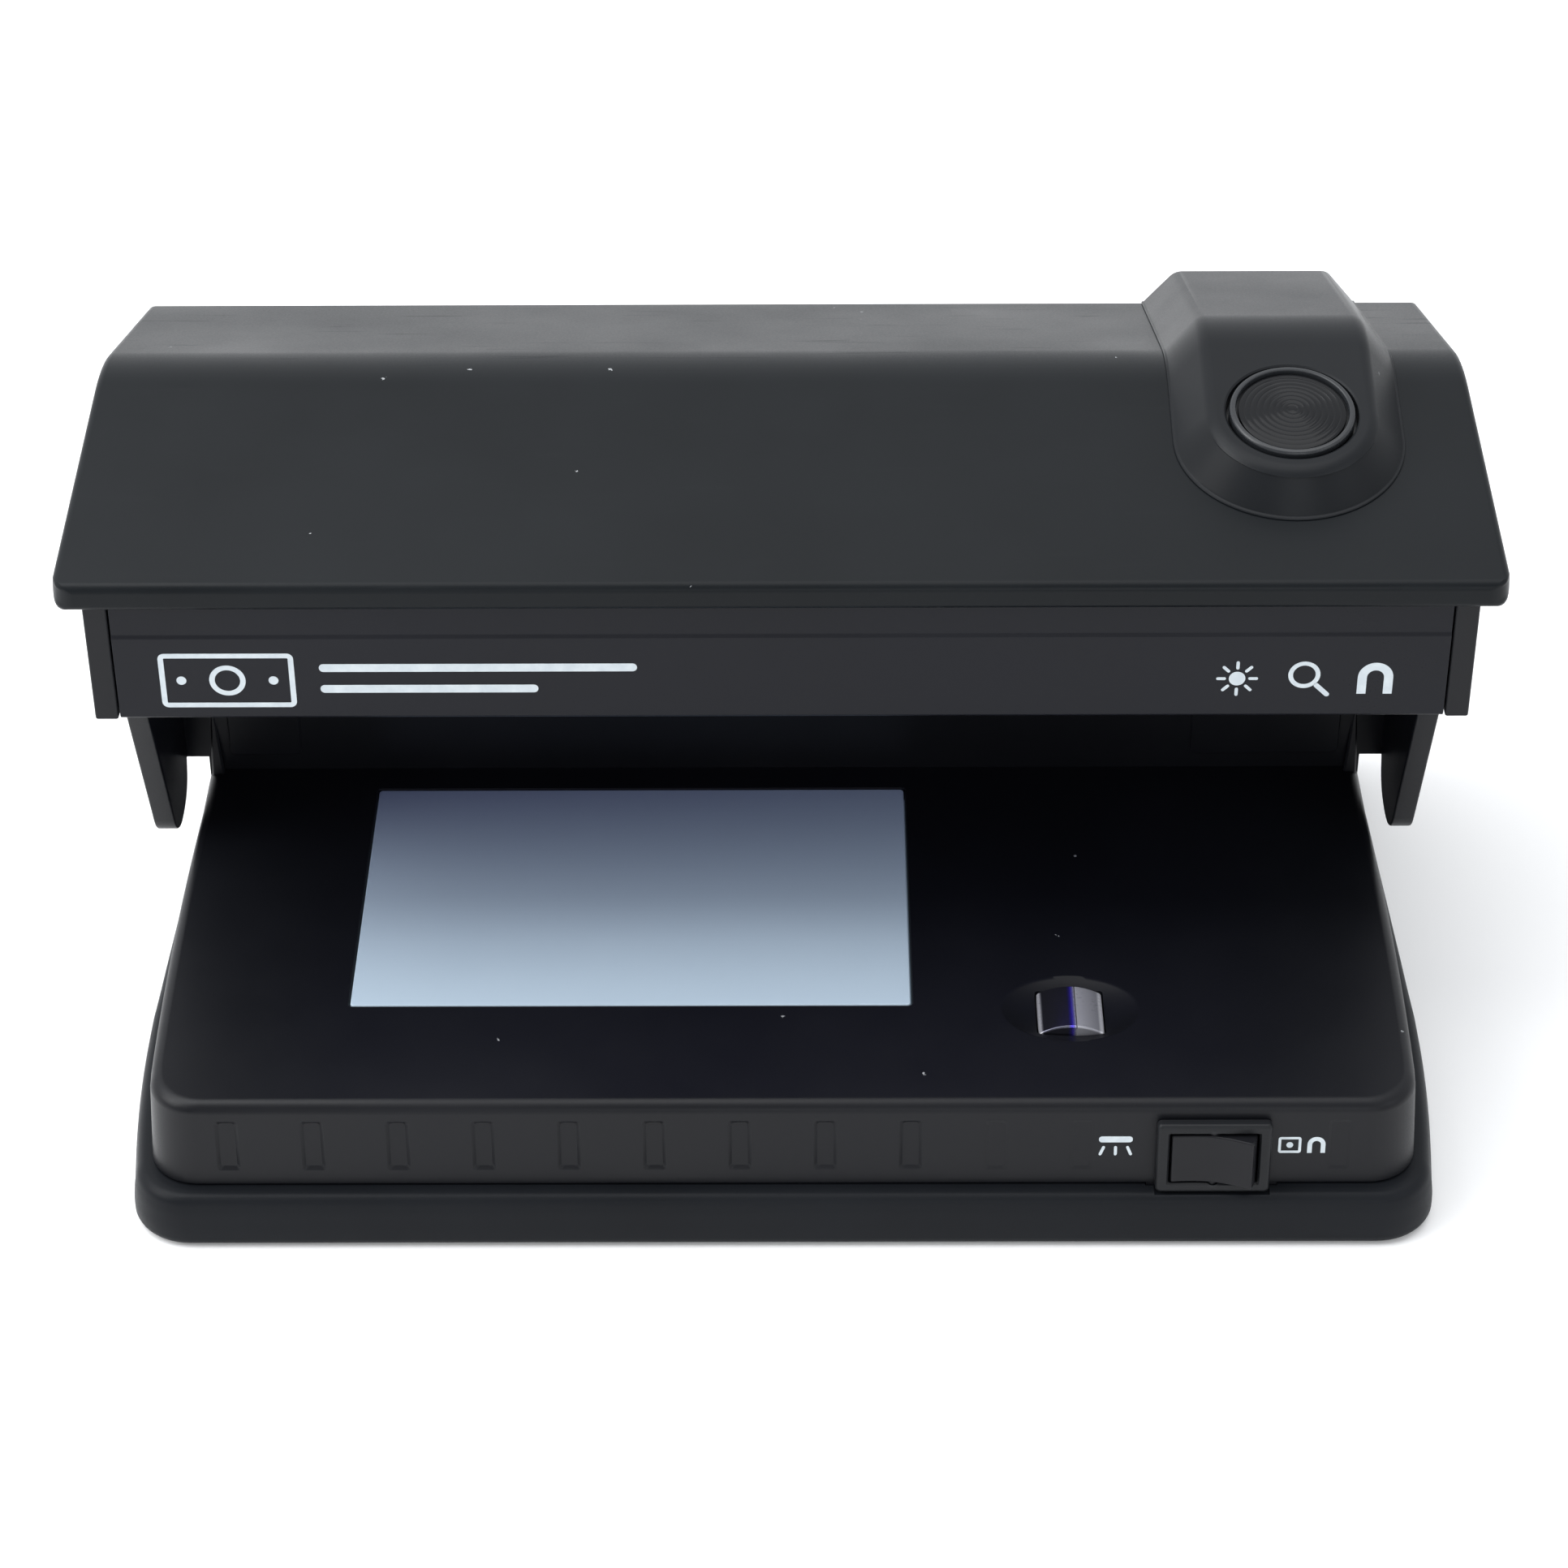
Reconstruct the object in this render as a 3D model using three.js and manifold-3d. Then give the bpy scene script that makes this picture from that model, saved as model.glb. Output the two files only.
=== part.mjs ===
// Counterfeit bill detector: a desk-top lamp box with two ultraviolet tubes in a
// hood, a white back-lit window and a magnetic head in the deck, and a magnifier
// in a pod on the hood.
//
// Units are millimetres, +Z is up, +X is the operator's right and +Y points away
// from the operator.  The origin is on the table, under the centre of the
// object's bounding box.

import * as THREE from 'three';
import { mergeVertices } from 'three/addons/utils/BufferGeometryUtils.js';
import Module from 'manifold-3d';

const manifold = await Module();
manifold.setup();
const { degToRad, clamp } = THREE.MathUtils;

// ------------------------------------------------------ shared dimensions
const SHIFT_Y = -1.5;               // working frame to bounding-box centre
const WALL = 2.4;

// deck shell
const SHELL_FOOT = 11.45;           // seam with the tray
const DECK_Z = 29.0;
const LEAN = degToRad(6.4);         // front face leans back
const FACE_FOOT_Y = -73.15;

// column and hood frame
const FRAME_HALF = 125.1;           // outside of the side plates
const FRAME_TOP = 111.0;
const PLATE_IN = 120.75;            // inside of the side plates
const COLUMN_Y = 33.0;              // front wall of the column
const COLUMN_BACK = 77.0;
const FASCIA_Y = -29.5;
const HOOD_BOTTOM = 86.0;

// magnifier
const POD_X = 93.0;
const LENS_FOOT_Y = 3.6;            // lens axis meets the cover's big face here
const DUCT_Y = 3.9;                 // viewing duct and its hole in the reflector

// light window in the deck
const WINDOW = { x: [-81.4, 24.1], y: [-42.5, 25.5] };

// magnetic head
const HEAD_X = 54.0;
const HEAD_Y = -43.8;

// rocker switch
const SWITCH_X = 79.0;
const SWITCH_Z = 18.3;

// mains inlet and fuse in the back panel
const INLET_X = 90;
const FUSE_X = 56;
const INLET_Z = 54;

// [x, y] of the feet and base screws: front left, front right, back left, back right
const FEET = grid([-98, 98], [-61, 61]);
const SCREWS = grid([-110, 110], [-55, 62]);
const CORNERS = ['front_left', 'front_right', 'back_left', 'back_right'];

// back panel screws
const REAR_SCREW_X = 117.5;
const REAR_SCREW_Z = 98.0;

// circuit board: stand-off centres and the board's margin beyond them
const PCB_HOLES_X = [62, 100];
const PCB_HOLES_Y = [-18, 24];
const PCB_MARGIN = 4.5;

// ------------------------------------------------------- ranges and outlines
function span(centre, half) {
  return [centre - half, centre + half];
}

function widen([from, to], margin) {
  return [from - margin, to + margin];
}

function middle([from, to]) {
  return (from + to) / 2;
}

// from x out to the given half-width, on the side x lies
function outTo(half, x) {
  return x < 0 ? [-half, x] : [x, half];
}

function grid(xs, ys) {
  return ys.flatMap((y) => xs.map((x) => [x, y]));
}

// evenly stepped values with both ends included
function sweep(start, extent, steps) {
  return Array.from({ length: steps + 1 }, (_, i) => start + (i / steps) * extent);
}

function ring(radius, sides, [u, v] = [0, 0], radiusV = radius) {
  return sweep(0, Math.PI * 2, sides).slice(0, -1)
    .map((angle) => [u + radius * Math.cos(angle), v + radiusV * Math.sin(angle)]);
}

// quadratic curve from start to end, drawn towards the pull point
function bezier(start, pull, end, steps) {
  return sweep(0, 1, steps).map((t) => [0, 1].map((k) =>
    (1 - t) * (1 - t) * start[k] + 2 * t * (1 - t) * pull[k] + t * t * end[k]));
}

// Rounded plan outline, symmetrical about x = 0.  swell(y) is added to the sides
// at the stations.
const CORNER_STEPS = 6;
function roundedPlan({
  z, halfFront, halfBack, front, back, frontRadius, backRadius, stations = [], swell,
}) {
  const side = (ys, sign) => ys.map((y) => {
    const along = (y - front) / (back - front);
    return [sign * (halfFront + (halfBack - halfFront) * along + swell(y)), y, z];
  });
  const corner = (x, y, radius, start) => sweep(start, Math.PI / 2, CORNER_STEPS)
    .map((angle) => [x + radius * Math.cos(angle), y + radius * Math.sin(angle), z]);
  const frontX = halfFront - frontRadius;
  const backX = halfBack - backRadius;
  return [
    ...corner(frontX, front + frontRadius, frontRadius, -Math.PI / 2),
    ...side(stations, 1),
    ...corner(backX, back - backRadius, backRadius, 0),
    ...corner(-backX, back - backRadius, backRadius, Math.PI / 2),
    ...side([...stations].reverse(), -1),
    ...corner(-frontX, front + frontRadius, frontRadius, Math.PI),
  ];
}

// ------------------------------------------------------------------ solids
function fromTriangles(positions, triangles) {
  return new manifold.Manifold(new manifold.Mesh({
    numProp: 3,
    vertProperties: new Float32Array(positions),
    triVerts: new Uint32Array(triangles),
  }));
}

function solid(geometry) {
  geometry.deleteAttribute('normal');
  geometry.deleteAttribute('uv');
  const merged = mergeVertices(geometry, 1e-4);
  const index = merged.index.array;
  const triangles = [];
  for (let i = 0; i < index.length; i += 3) {
    const [a, b, c] = index.slice(i, i + 3);
    // a turned profile leaves zero-area triangles where it meets its axis
    if (a !== b && b !== c && c !== a) triangles.push(a, b, c);
  }
  return fromTriangles(merged.attributes.position.array, triangles);
}

// box from its [from, to] ranges
function box([x0, x1], [y0, y1], [z0, z1]) {
  const geometry = new THREE.BoxGeometry(x1 - x0, y1 - y0, z1 - z0);
  return solid(geometry.translate((x0 + x1) / 2, (y0 + y1) / 2, (z0 + z1) / 2));
}

const basis = (u, v, depth) => new THREE.Matrix4().makeBasis(
  new THREE.Vector3(...u), new THREE.Vector3(...v), new THREE.Vector3(...depth));
const AXES = {
  x: basis([0, 1, 0], [0, 0, 1], [1, 0, 0]),       // outline (y, z), depth +X
  y: basis([0, 0, 1], [1, 0, 0], [0, 1, 0]),       // outline (z, x), depth +Y
  z: basis([1, 0, 0], [0, 1, 0], [0, 0, 1]),       // outline (x, y), depth +Z
};
const shift = (x, y, z) => new THREE.Matrix4().makeTranslation(x, y, z);
const tiltX = (angle) => new THREE.Matrix4().makeRotationX(angle);

const outlineShape = (outline) => new THREE.Shape(outline.map(([u, v]) => new THREE.Vector2(u, v)));

// prism with its outline in the plane across the axis
function prism(axis, outline, [from, to]) {
  const geometry = new THREE.ExtrudeGeometry(outlineShape(outline), {
    depth: to - from, bevelEnabled: false, steps: 1, curveSegments: 1,
  });
  return solid(geometry.applyMatrix4(AXES[axis].clone().multiply(shift(0, 0, from))));
}

// round bar along an axis; centre is in outline order
function bar(axis, radius, range, centre, sides) {
  return prism(axis, ring(radius, sides, centre), range);
}

// solid turned about Z, from an anticlockwise [radius, height] profile that runs
// from axis to axis
function turned(profile, sides) {
  const points = profile.map(([radius, height]) => new THREE.Vector2(radius, height));
  return solid(new THREE.LatheGeometry(points, sides).rotateX(Math.PI / 2));
}

// the same for a profile clear of the axis, which closes on itself
const turnedRing = (profile, sides) => turned([...profile, profile[0]], sides);

const moved = (body, matrix) => body.transform(matrix.elements);

// stands a Z-aligned solid along an axis at a point
const place = (body, axis, x, y, z) => moved(body, shift(x, y, z).multiply(AXES[axis]));

const fan = (count) => Array.from({ length: count - 2 }, (_, i) => [0, i + 1, i + 2]);

// Closed skin through a stack of loops with equal point counts.  The loops are
// anticlockwise seen from the far end of the stack; cap lists the triangles that
// close both ends.
function skin(loops, cap = fan(loops[0].length)) {
  const count = loops[0].length;
  const last = (loops.length - 1) * count;
  const triangles = [];
  for (let low = 0; low < last; low += count) {
    const high = low + count;
    for (let i = 0; i < count; i++) {
      const next = (i + 1) % count;
      triangles.push(low + i, low + next, high + next, low + i, high + next, high + i);
    }
  }
  for (const [a, b, c] of cap) {
    triangles.push(a, c, b, last + a, last + b, last + c);
  }
  return fromTriangles(loops.flat(2), triangles);
}

const unite = (...bodies) => bodies.reduce((sum, body) => sum.add(body));
const carve = (body, ...cuts) => cuts.reduce((rest, cut) => rest.subtract(cut), body);

// --------------------------------------------------------------- materials
const finish = ({ color, roughness, metalness = 0 }) =>
  new THREE.MeshStandardMaterial({ color, roughness, metalness, flatShading: true });
const materials = {
  shell: finish({ color: 0x1c1f22, roughness: 0.52 }),
  cover: finish({ color: 0x262a2d, roughness: 0.5 }),
  tray: finish({ color: 0x202427, roughness: 0.55 }),
  fascia: finish({ color: 0x212427, roughness: 0.45 }),
  pod: finish({ color: 0x2a2e31, roughness: 0.42 }),
  diffuser: finish({ color: 0xcdd8e2, roughness: 0.35 }),
  lens: finish({ color: 0x24282a, roughness: 0.08 }),
  rocker: finish({ color: 0x17191b, roughness: 0.38 }),
  rubber: finish({ color: 0x121314, roughness: 0.9 }),
  steel: finish({ color: 0xb4b8bc, roughness: 0.3, metalness: 1 }),
  head: finish({ color: 0xc8cbd2, roughness: 0.15, metalness: 1 }),
  brass: finish({ color: 0xb48f45, roughness: 0.35, metalness: 1 }),
  aluminium: finish({ color: 0xc9cdd1, roughness: 0.28, metalness: 1 }),
  white: finish({ color: 0xe9eae6, roughness: 0.5 }),
  uvGlass: finish({ color: 0x2b2140, roughness: 0.1 }),
  whiteGlass: finish({ color: 0xeef1f3, roughness: 0.15 }),
  pcb: finish({ color: 0x1f5c38, roughness: 0.45 }),
  black: finish({ color: 0x141516, roughness: 0.5 }),
  core: finish({ color: 0x5a5650, roughness: 0.6, metalness: 0.6 }),
  coil: finish({ color: 0xb5602d, roughness: 0.4, metalness: 0.6 }),
  can: finish({ color: 0x2c3c5c, roughness: 0.35 }),
  redWire: finish({ color: 0x8c1f1f, roughness: 0.55 }),
  greyWire: finish({ color: 0x5f6468, roughness: 0.6 }),
};

const part = new THREE.Group();
const working = new THREE.Group();
working.position.y = SHIFT_Y;
part.add(working);

function addPiece(name, body, material, parent = working) {
  const bodies = body.decompose().length;
  if (bodies !== 1) throw new Error(`${name} is ${bodies} bodies`);
  const { vertProperties, triVerts } = body.getMesh();
  const geometry = new THREE.BufferGeometry();
  geometry.setAttribute('position', new THREE.BufferAttribute(new Float32Array(vertProperties), 3));
  geometry.setIndex(new THREE.BufferAttribute(new Uint32Array(triVerts), 1));
  geometry.computeVertexNormals();
  const mesh = new THREE.Mesh(geometry, material);
  mesh.name = name;
  parent.add(mesh);
}

// --------------------------------------------------------------- base tray
const TRAY_HALF = 121.2;            // half-width where the corners begin
const TRAY_FRONT = -77.8;
const TRAY_BACK = 77.2;
const TRAY_RADIUS = 11.3;
const TRAY_CROWN = 2.4;             // most the sides swell by
const TRAY_CROWN_FRONT = -28;       // full swell begins here
const TRAY_CROWN_BACK = -22;        // and starts to fall away here
const TRAY_FRONT_FALL = 38;         // lengths the swell falls away over
const TRAY_BACK_FALL = 74;
const TRAY_STATIONS = [-57, -48, -39, -29, -18, -6, 10, 30, 50];
const TRAY_BOTTOM = 0.5;            // the feet lift the tray off the table
const TRAY_FLOOR = 4.0;
const TRAY_TOP = 11.2;

// [height, inset from the widest outline]
const TRAY_OUTSIDE = [
  [TRAY_BOTTOM, 1.2], [0.8, 0.5], [1.7, 0.05], [3.2, 0.0], [6.0, 0.25],
  [8.6, 0.7], [10.2, 1.3], [10.9, 2.1], [TRAY_TOP, 3.8],
];
const TRAY_INSIDE = [[TRAY_FLOOR, 6.6], [5.2, 4.0], [8.9, 3.5], [9.0, 3.5]];

function traySwell(y) {
  const fall = y < TRAY_CROWN_BACK
    ? (Math.max(0, TRAY_CROWN_FRONT - y) / TRAY_FRONT_FALL) ** 2
    : Math.min(1, (y - TRAY_CROWN_BACK) / TRAY_BACK_FALL);
  return TRAY_CROWN * (1 - fall);
}

function traySection([z, inset]) {
  const radius = TRAY_RADIUS - inset * 0.8;
  return roundedPlan({
    z, halfFront: TRAY_HALF - inset, halfBack: TRAY_HALF - inset,
    front: TRAY_FRONT + inset, back: TRAY_BACK - inset,
    frontRadius: radius, backRadius: radius, stations: TRAY_STATIONS, swell: traySwell,
  });
}

const trayMouth = (z) => roundedPlan({
  z, halfFront: 114.6, halfBack: 114.6, front: -70.2, back: 70.2, frontRadius: 6.4, backRadius: 6.4,
});

function baseTray() {
  let tray = carve(
    skin(TRAY_OUTSIDE.map(traySection)),
    skin(TRAY_INSIDE.map(traySection)),
    skin([trayMouth(8.8), trayMouth(TRAY_TOP + 1)]),
  );
  // screw pillars and the circuit board's stand-offs
  for (const screw of SCREWS) tray = tray.add(bar('z', 5.0, [2.0, 9.0], screw, 18));
  for (const hole of grid(PCB_HOLES_X, PCB_HOLES_Y)) {
    tray = tray.add(bar('z', 2.6, [3.5, 6.9], hole, 12));
  }
  // foot recesses, screw head recesses and screw holes
  for (const foot of FEET) tray = tray.subtract(bar('z', 6.8, [0, 3.2], foot, 20));
  for (const screw of SCREWS) {
    tray = carve(tray, bar('z', 3.4, [0, 5.2], screw, 16), bar('z', 1.7, [0, 9.5], screw, 12));
  }
  // air slots under the ballasts
  for (let i = 0; i < 7; i++) {
    const y = 36 + i * 5;
    tray = tray.subtract(box([-70, -20], [y, y + 2.2], [0, 5]));
  }
  // reliefs under the switch surround and the shell's tongue
  return carve(
    tray,
    box(span(SWITCH_X, 10.8), [-76.2, -68], [10.3, 13]),
    box(span(SWITCH_X, 12.3), [-74.0, -68], [9.1, 13]),
  );
}

// --------------------------------------------------------------- main body
const SHELL_HALF_FOOT = 117.4;
const SHELL_HALF_TOP = 116.5;
const SHELL_CROWN = 0.9;            // swell of the sides
const DECK_UNDER = 26.4;
const COLUMN_FLOOR = 32.0;

// dish round the head: half-lengths along x and y
const DISH_HALF_X = 13.25;
const DISH_HALF_Y = 9.65;
const DISH_DEPTH = 2.0;
// [scale of the dish outline, height above the deck]
const DISH_SECTIONS = [[0.62, -DISH_DEPTH], [0.86, -DISH_DEPTH * 0.72], [1, 0.001], [1, 2]];

// grip slots in the front face; the last is off the pitch
const SLOT_WIDTH = 3.85;
const SLOT_PITCH = 15.68;
const SLOT_FIRST_X = -101.9;
const SLOT_LAST_X = 102.1;
const SLOT_Z = [14.9, 25.2];
const SLOT_DEPTH = 0.7;

// side plate, [y, z]
const PLATE_OUTLINE = [
  [FASCIA_Y, HOOD_BOTTOM], [-10.4, HOOD_BOTTOM], [-9.0, 85.2], [12.4, 32.3], [13.6, 30.2],
  [15.6, 28.2], [18.6, 26.9], [22.8, 26.5], [27.6, 27.3], [30.6, 29.2], [31.8, 31.2],
  [32.4, COLUMN_FLOOR], [COLUMN_Y + 1, COLUMN_FLOOR], [COLUMN_Y + 1, FRAME_TOP],
  [FASCIA_Y, FRAME_TOP],
];

// gusset sections: [inner |x|, outer |x|, front y, z]
const GUSSET_BACK = 33.6;
const GUSSET_SECTIONS = [
  [113.2, 117.0, 30.9, 26.5], [113.2, 117.0, 31.0, 29.4], [115.0, 115.6, 32.9, 42.0],
];

// front face of the shell
const faceY = (z) => FACE_FOOT_Y + (z - SHELL_FOOT) * Math.tan(LEAN);

// switch frame: X along the face, Y into the body, Z up the face
const switchFrame = shift(SWITCH_X, faceY(SWITCH_Z), SWITCH_Z).multiply(tiltX(-LEAN));

function shellSection(z, inset, backInset = 0) {
  const rise = (z - SHELL_FOOT) / (DECK_Z - SHELL_FOOT);
  const half = SHELL_HALF_FOOT + (SHELL_HALF_TOP - SHELL_HALF_FOOT) * rise;
  return roundedPlan({
    z, halfFront: half - inset, halfBack: half - 0.4 - inset,
    front: faceY(z) + inset, back: COLUMN_BACK - backInset,
    frontRadius: 9.5 - inset * 0.6, backRadius: 3.0,
    stations: [-56, -45, -32, -20, -8, 5, 16, 25],
    swell: (y) => SHELL_CROWN * (1 - ((y + 20) / 45) ** 2),
  });
}

function bodyShell() {
  const deck = skin([
    shellSection(SHELL_FOOT, 0), shellSection(26.8, 0), shellSection(27.9, 0.25),
    shellSection(28.6, 0.85), shellSection(DECK_Z, 2.2),
  ]);
  const columnY = [COLUMN_Y, COLUMN_BACK];
  const column = box(span(0, FRAME_HALF), columnY, [COLUMN_FLOOR, FRAME_TOP]);
  const pedestal = box(span(0, 116.4), columnY, [26.0, 34.0]);
  const insideHalf = FRAME_HALF - WALL;
  const insideY = [COLUMN_Y + WALL, COLUMN_BACK - WALL];
  return carve(
    unite(deck, column, pedestal),
    // top of the column falls away under the cover's back slope
    prism('x', [
      [43.9, FRAME_TOP], [COLUMN_BACK + 2, 102.95], [COLUMN_BACK + 2, 114], [43.9, 114],
    ], span(0, 130)),
    // column interior, open at the top and the back
    box(span(0, insideHalf), [COLUMN_Y + WALL, COLUMN_BACK + 3], [36.0, 115]),
    box(span(0, insideHalf), insideY, [34.4, 37]),
    // base interior
    skin([shellSection(SHELL_FOOT - 1, WALL, WALL), shellSection(DECK_UNDER, WALL, WALL)]),
    box(span(0, 113.9), insideY, [25.0, 36.5]),
  );
}

function gusset(side) {
  return skin(GUSSET_SECTIONS.map(([inner, outer, front, z]) => {
    const [x0, x1] = side < 0 ? [-outer, -inner] : [inner, outer];
    return [[x0, front, z], [x1, front, z], [x1, GUSSET_BACK, z], [x0, GUSSET_BACK, z]];
  }));
}

function addFrame(body) {
  const padY = [COLUMN_Y - 0.45, COLUMN_Y + 1];
  return unite(
    body,
    prism('x', PLATE_OUTLINE, [PLATE_IN, FRAME_HALF]),
    prism('x', PLATE_OUTLINE, [-FRAME_HALF, -PLATE_IN]),
    // stiffening rail behind the fascia
    box(span(0, PLATE_IN + 1), [-26.9, -25.3], [104.6, 110.8]),
    // raised pads on the column's front wall
    box([-112.0, -97.5], padY, [32.5, 84.0]),
    box([82.0, 112.0], padY, [32.5, 84.0]),
    // at the deck's back corners
    gusset(-1),
    gusset(1),
  );
}

// thickened seat, the dish in it, the head's slot and the light window
function cutDeck(body) {
  const dishRing = (halfX, halfY) => ring(halfX, 28, [HEAD_X, HEAD_Y], halfY);
  const seat = prism('z', dishRing(DISH_HALF_X + 2.4, DISH_HALF_Y + 2.4), [24.2, 27.0]);
  const dish = skin(DISH_SECTIONS.map(([scale, height]) =>
    dishRing(DISH_HALF_X * scale, DISH_HALF_Y * scale).map(([x, y]) => [x, y, DECK_Z + height])));
  return carve(
    body.add(seat),
    dish,
    box(span(HEAD_X, 6.45), span(HEAD_Y, 6.3), [20, 30]),
    box(widen(WINDOW.x, 0.25), widen(WINDOW.y, 0.25), [20, 32]),
  );
}

function addBosses(body) {
  let result = body;
  // base screws; the back bosses are taller and ribbed to the side wall
  for (const [x, y] of SCREWS) {
    result = result.add(bar('z', 4.0, [9.3, y > 0 ? 35.4 : 27.0], [x, y], 16));
    if (y > 0) result = result.add(box(outTo(115.5, x), span(y, 1.2), [12.5, 35.4]));
    result = result.subtract(bar('z', 1.5, [9.0, 18.0], [x, y], 12));
  }
  // back panel screws
  const bossY = [COLUMN_Y + 1, 74.4];
  for (const x of [-REAR_SCREW_X, REAR_SCREW_X]) {
    result = unite(
      result,
      bar('y', 4.6, bossY, [REAR_SCREW_Z, x], 16),
      box(outTo(124, x), bossY, span(REAR_SCREW_Z, 3)),
    ).subtract(bar('y', 1.5, [60, 76], [REAR_SCREW_Z, x], 12));
  }
  return result;
}

function gripSlot(x) {
  const [low, high] = SLOT_Z;
  return prism('x', [
    [-75, low], [faceY(low) + SLOT_DEPTH, low], [faceY(high) + SLOT_DEPTH, high], [-75, high],
  ], span(x, SLOT_WIDTH / 2));
}

function mainBody() {
  const tongue = prism('x', [
    [faceY(9.3), 9.3], [faceY(9.3) + WALL, 9.3], [faceY(13) + WALL, 13], [faceY(13), 13],
  ], span(SWITCH_X, 12));
  const switchHole = box(span(0, 9.9), span(0, 5), span(0, 6.7));
  const slotX = Array.from({ length: 11 }, (_, i) => SLOT_FIRST_X + i * SLOT_PITCH);
  return carve(
    addBosses(cutDeck(addFrame(bodyShell()))).add(tongue),
    moved(switchHole, switchFrame),
    ...[...slotX, SLOT_LAST_X].map(gripSlot),
    // wire way over the column's front wall
    box([-118.0, -104.0], [COLUMN_Y - 2, COLUMN_Y + 4], [107.0, 112.0]),
  );
}

// -------------------------------------------------------------- rear panel
function rearPanel() {
  const through = [70, 80];
  let panel = box(span(0, 122.4), [74.75, COLUMN_BACK], [36.3, 103.35]);
  for (const x of [-REAR_SCREW_X, REAR_SCREW_X]) {
    panel = panel.subtract(bar('y', 1.75, through, [REAR_SCREW_Z, x], 12));
  }
  // two banks of air slots
  for (const x of [-62, 0]) {
    for (let i = 0; i < 7; i++) {
      const z = 66 + i * 5;
      panel = panel.subtract(box(span(x, 24), through, [z, z + 2.4]));
    }
  }
  return carve(
    panel,
    box(span(INLET_X, 13.8), through, span(INLET_Z, 8.8)),
    bar('y', 6.2, through, [INLET_Z, FUSE_X], 20),
  );
}

function rearScrew(x) {
  const screw = turned([
    [0, 0], [1.45, 0], [1.45, 12.0], [2.9, 12.0], [2.7, 13.6], [1.6, 14.2], [0, 14.2],
  ], 14);
  return place(screw, 'y', x, 65.1, REAR_SCREW_Z);
}

// -------------------------------------------------------------- hood cover
const RIM_Z = 111.2;                // underside of the cover's lip
const COVER_TILT = degToRad(12.4);
const COVER_SLOPE = Math.tan(COVER_TILT);
const COVER_Z0 = 116.6;             // height of the big face at y = COVER_Y0
const COVER_Y0 = -31.0;
const RIDGE_Y = 25.5;
const BACK_SLOPE = 0.352;
const COVER_BACK = 80.0;
const END_STEP = 1.1;               // width of the bevel at each end of the cover
const END_INSET = 0.9;              // and how far it draws the outline in

const faceZ = (y) => COVER_Z0 + COVER_SLOPE * (y - COVER_Y0);
const RIDGE_Z = faceZ(RIDGE_Y);
const backZ = (y) => RIDGE_Z - BACK_SLOPE * (y - RIDGE_Y);
const coverHalf = (y, z) => 130 - 0.030 * (y + 27) - 0.07 * (z - 113);

// outside of the cover, clockwise [y, z]
const COVER_OUTLINE = [
  [-31.7, RIM_Z], [-32.2, 112.0], [-32.2, 114.7], [-31.7, 115.9],
  [-30.2, faceZ(-30.2) - 0.05], [-10, faceZ(-10)],
  ...bezier([18, faceZ(18)], [RIDGE_Y, RIDGE_Z], [33, backZ(33)], 6),
  [55, backZ(55)], [78.4, backZ(78.4)], [79.6, backZ(79.4)],
  [COVER_BACK, 108.6], [COVER_BACK, 103.0], [44, RIM_Z],
];

// hollow of the cover, [y, z]
const COVER_CAVITY = [
  [-29.6, 113.4], [-29.6, 114.2], [-28.6, faceZ(-28.6) - 2.5], [-10, faceZ(-10) - 2.5],
  ...bezier([18, faceZ(18) - 2.5], [RIDGE_Y, RIDGE_Z - 2.5], [33, backZ(33) - 2.6], 4),
  [55, backZ(55) - 2.6], [77.4, backZ(77.4) - 2.6], [77.4, 105.8], [44.3, 113.4],
];

function coverSolid() {
  const endLoop = (side) => COVER_OUTLINE.map(([y, z]) => {
    const drop = z > 112.5 || (y > 60 && z > 104) ? END_INSET * 0.6 : 0;
    return [side * coverHalf(y, z), clamp(y, -31.0 + END_INSET, 79.2 - END_INSET), z - drop];
  });
  const fullLoop = (side) => COVER_OUTLINE.map(([y, z]) => [side * (coverHalf(y, z) - END_STEP), y, z]);
  const flat = COVER_OUTLINE.map(([y, z]) => new THREE.Vector2(y, z));
  const cross = (p, q, r) => (q.x - p.x) * (r.y - p.y) - (r.x - p.x) * (q.y - p.y);
  // the outline runs clockwise, so the caps must too and the stack goes from +X to -X
  const cap = THREE.ShapeUtils.triangulateShape(flat, [])
    .map(([a, b, c]) => (cross(flat[a], flat[b], flat[c]) < 0 ? [a, b, c] : [a, c, b]));
  return skin([endLoop(1), fullLoop(1), fullLoop(-1), endLoop(-1)], cap);
}
const coverOuter = coverSolid();

// lens frame: Z square to the cover's big face, origin on the face
const lensFrame = shift(POD_X, LENS_FOOT_Y, faceZ(LENS_FOOT_Y)).multiply(tiltX(COVER_TILT));

function hoodCover() {
  return carve(
    coverOuter,
    prism('x', COVER_CAVITY, span(0, 125.2)),
    // mouth of the cover inside its turned-in rim
    prism('x', [
      [-27.0, 100], [74.4, 100], [74.4, 106.9], [44.3, 113.8], [-27.0, 113.8],
    ], span(0, 122.4)),
    // light hole under the magnifier
    moved(bar('z', 13.0, [-8, 8], [0, 0], 28), lensFrame),
  );
}

// ---------------------------------------------------------- magnifier pod
const POD_H = 7.5;                  // above the cover, square to the face
const POD_TOP_R = 14.8;
const POD_FOOT_R = 20.8;
const BORE_R = 12.0;
const POD_RISE = POD_H / Math.cos(COVER_TILT);    // vertical rise of the flat face
const POD_TOP_Y = LENS_FOOT_Y - POD_H * Math.sin(COVER_TILT);
const POD_NOSE_STEPS = 16;

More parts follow.
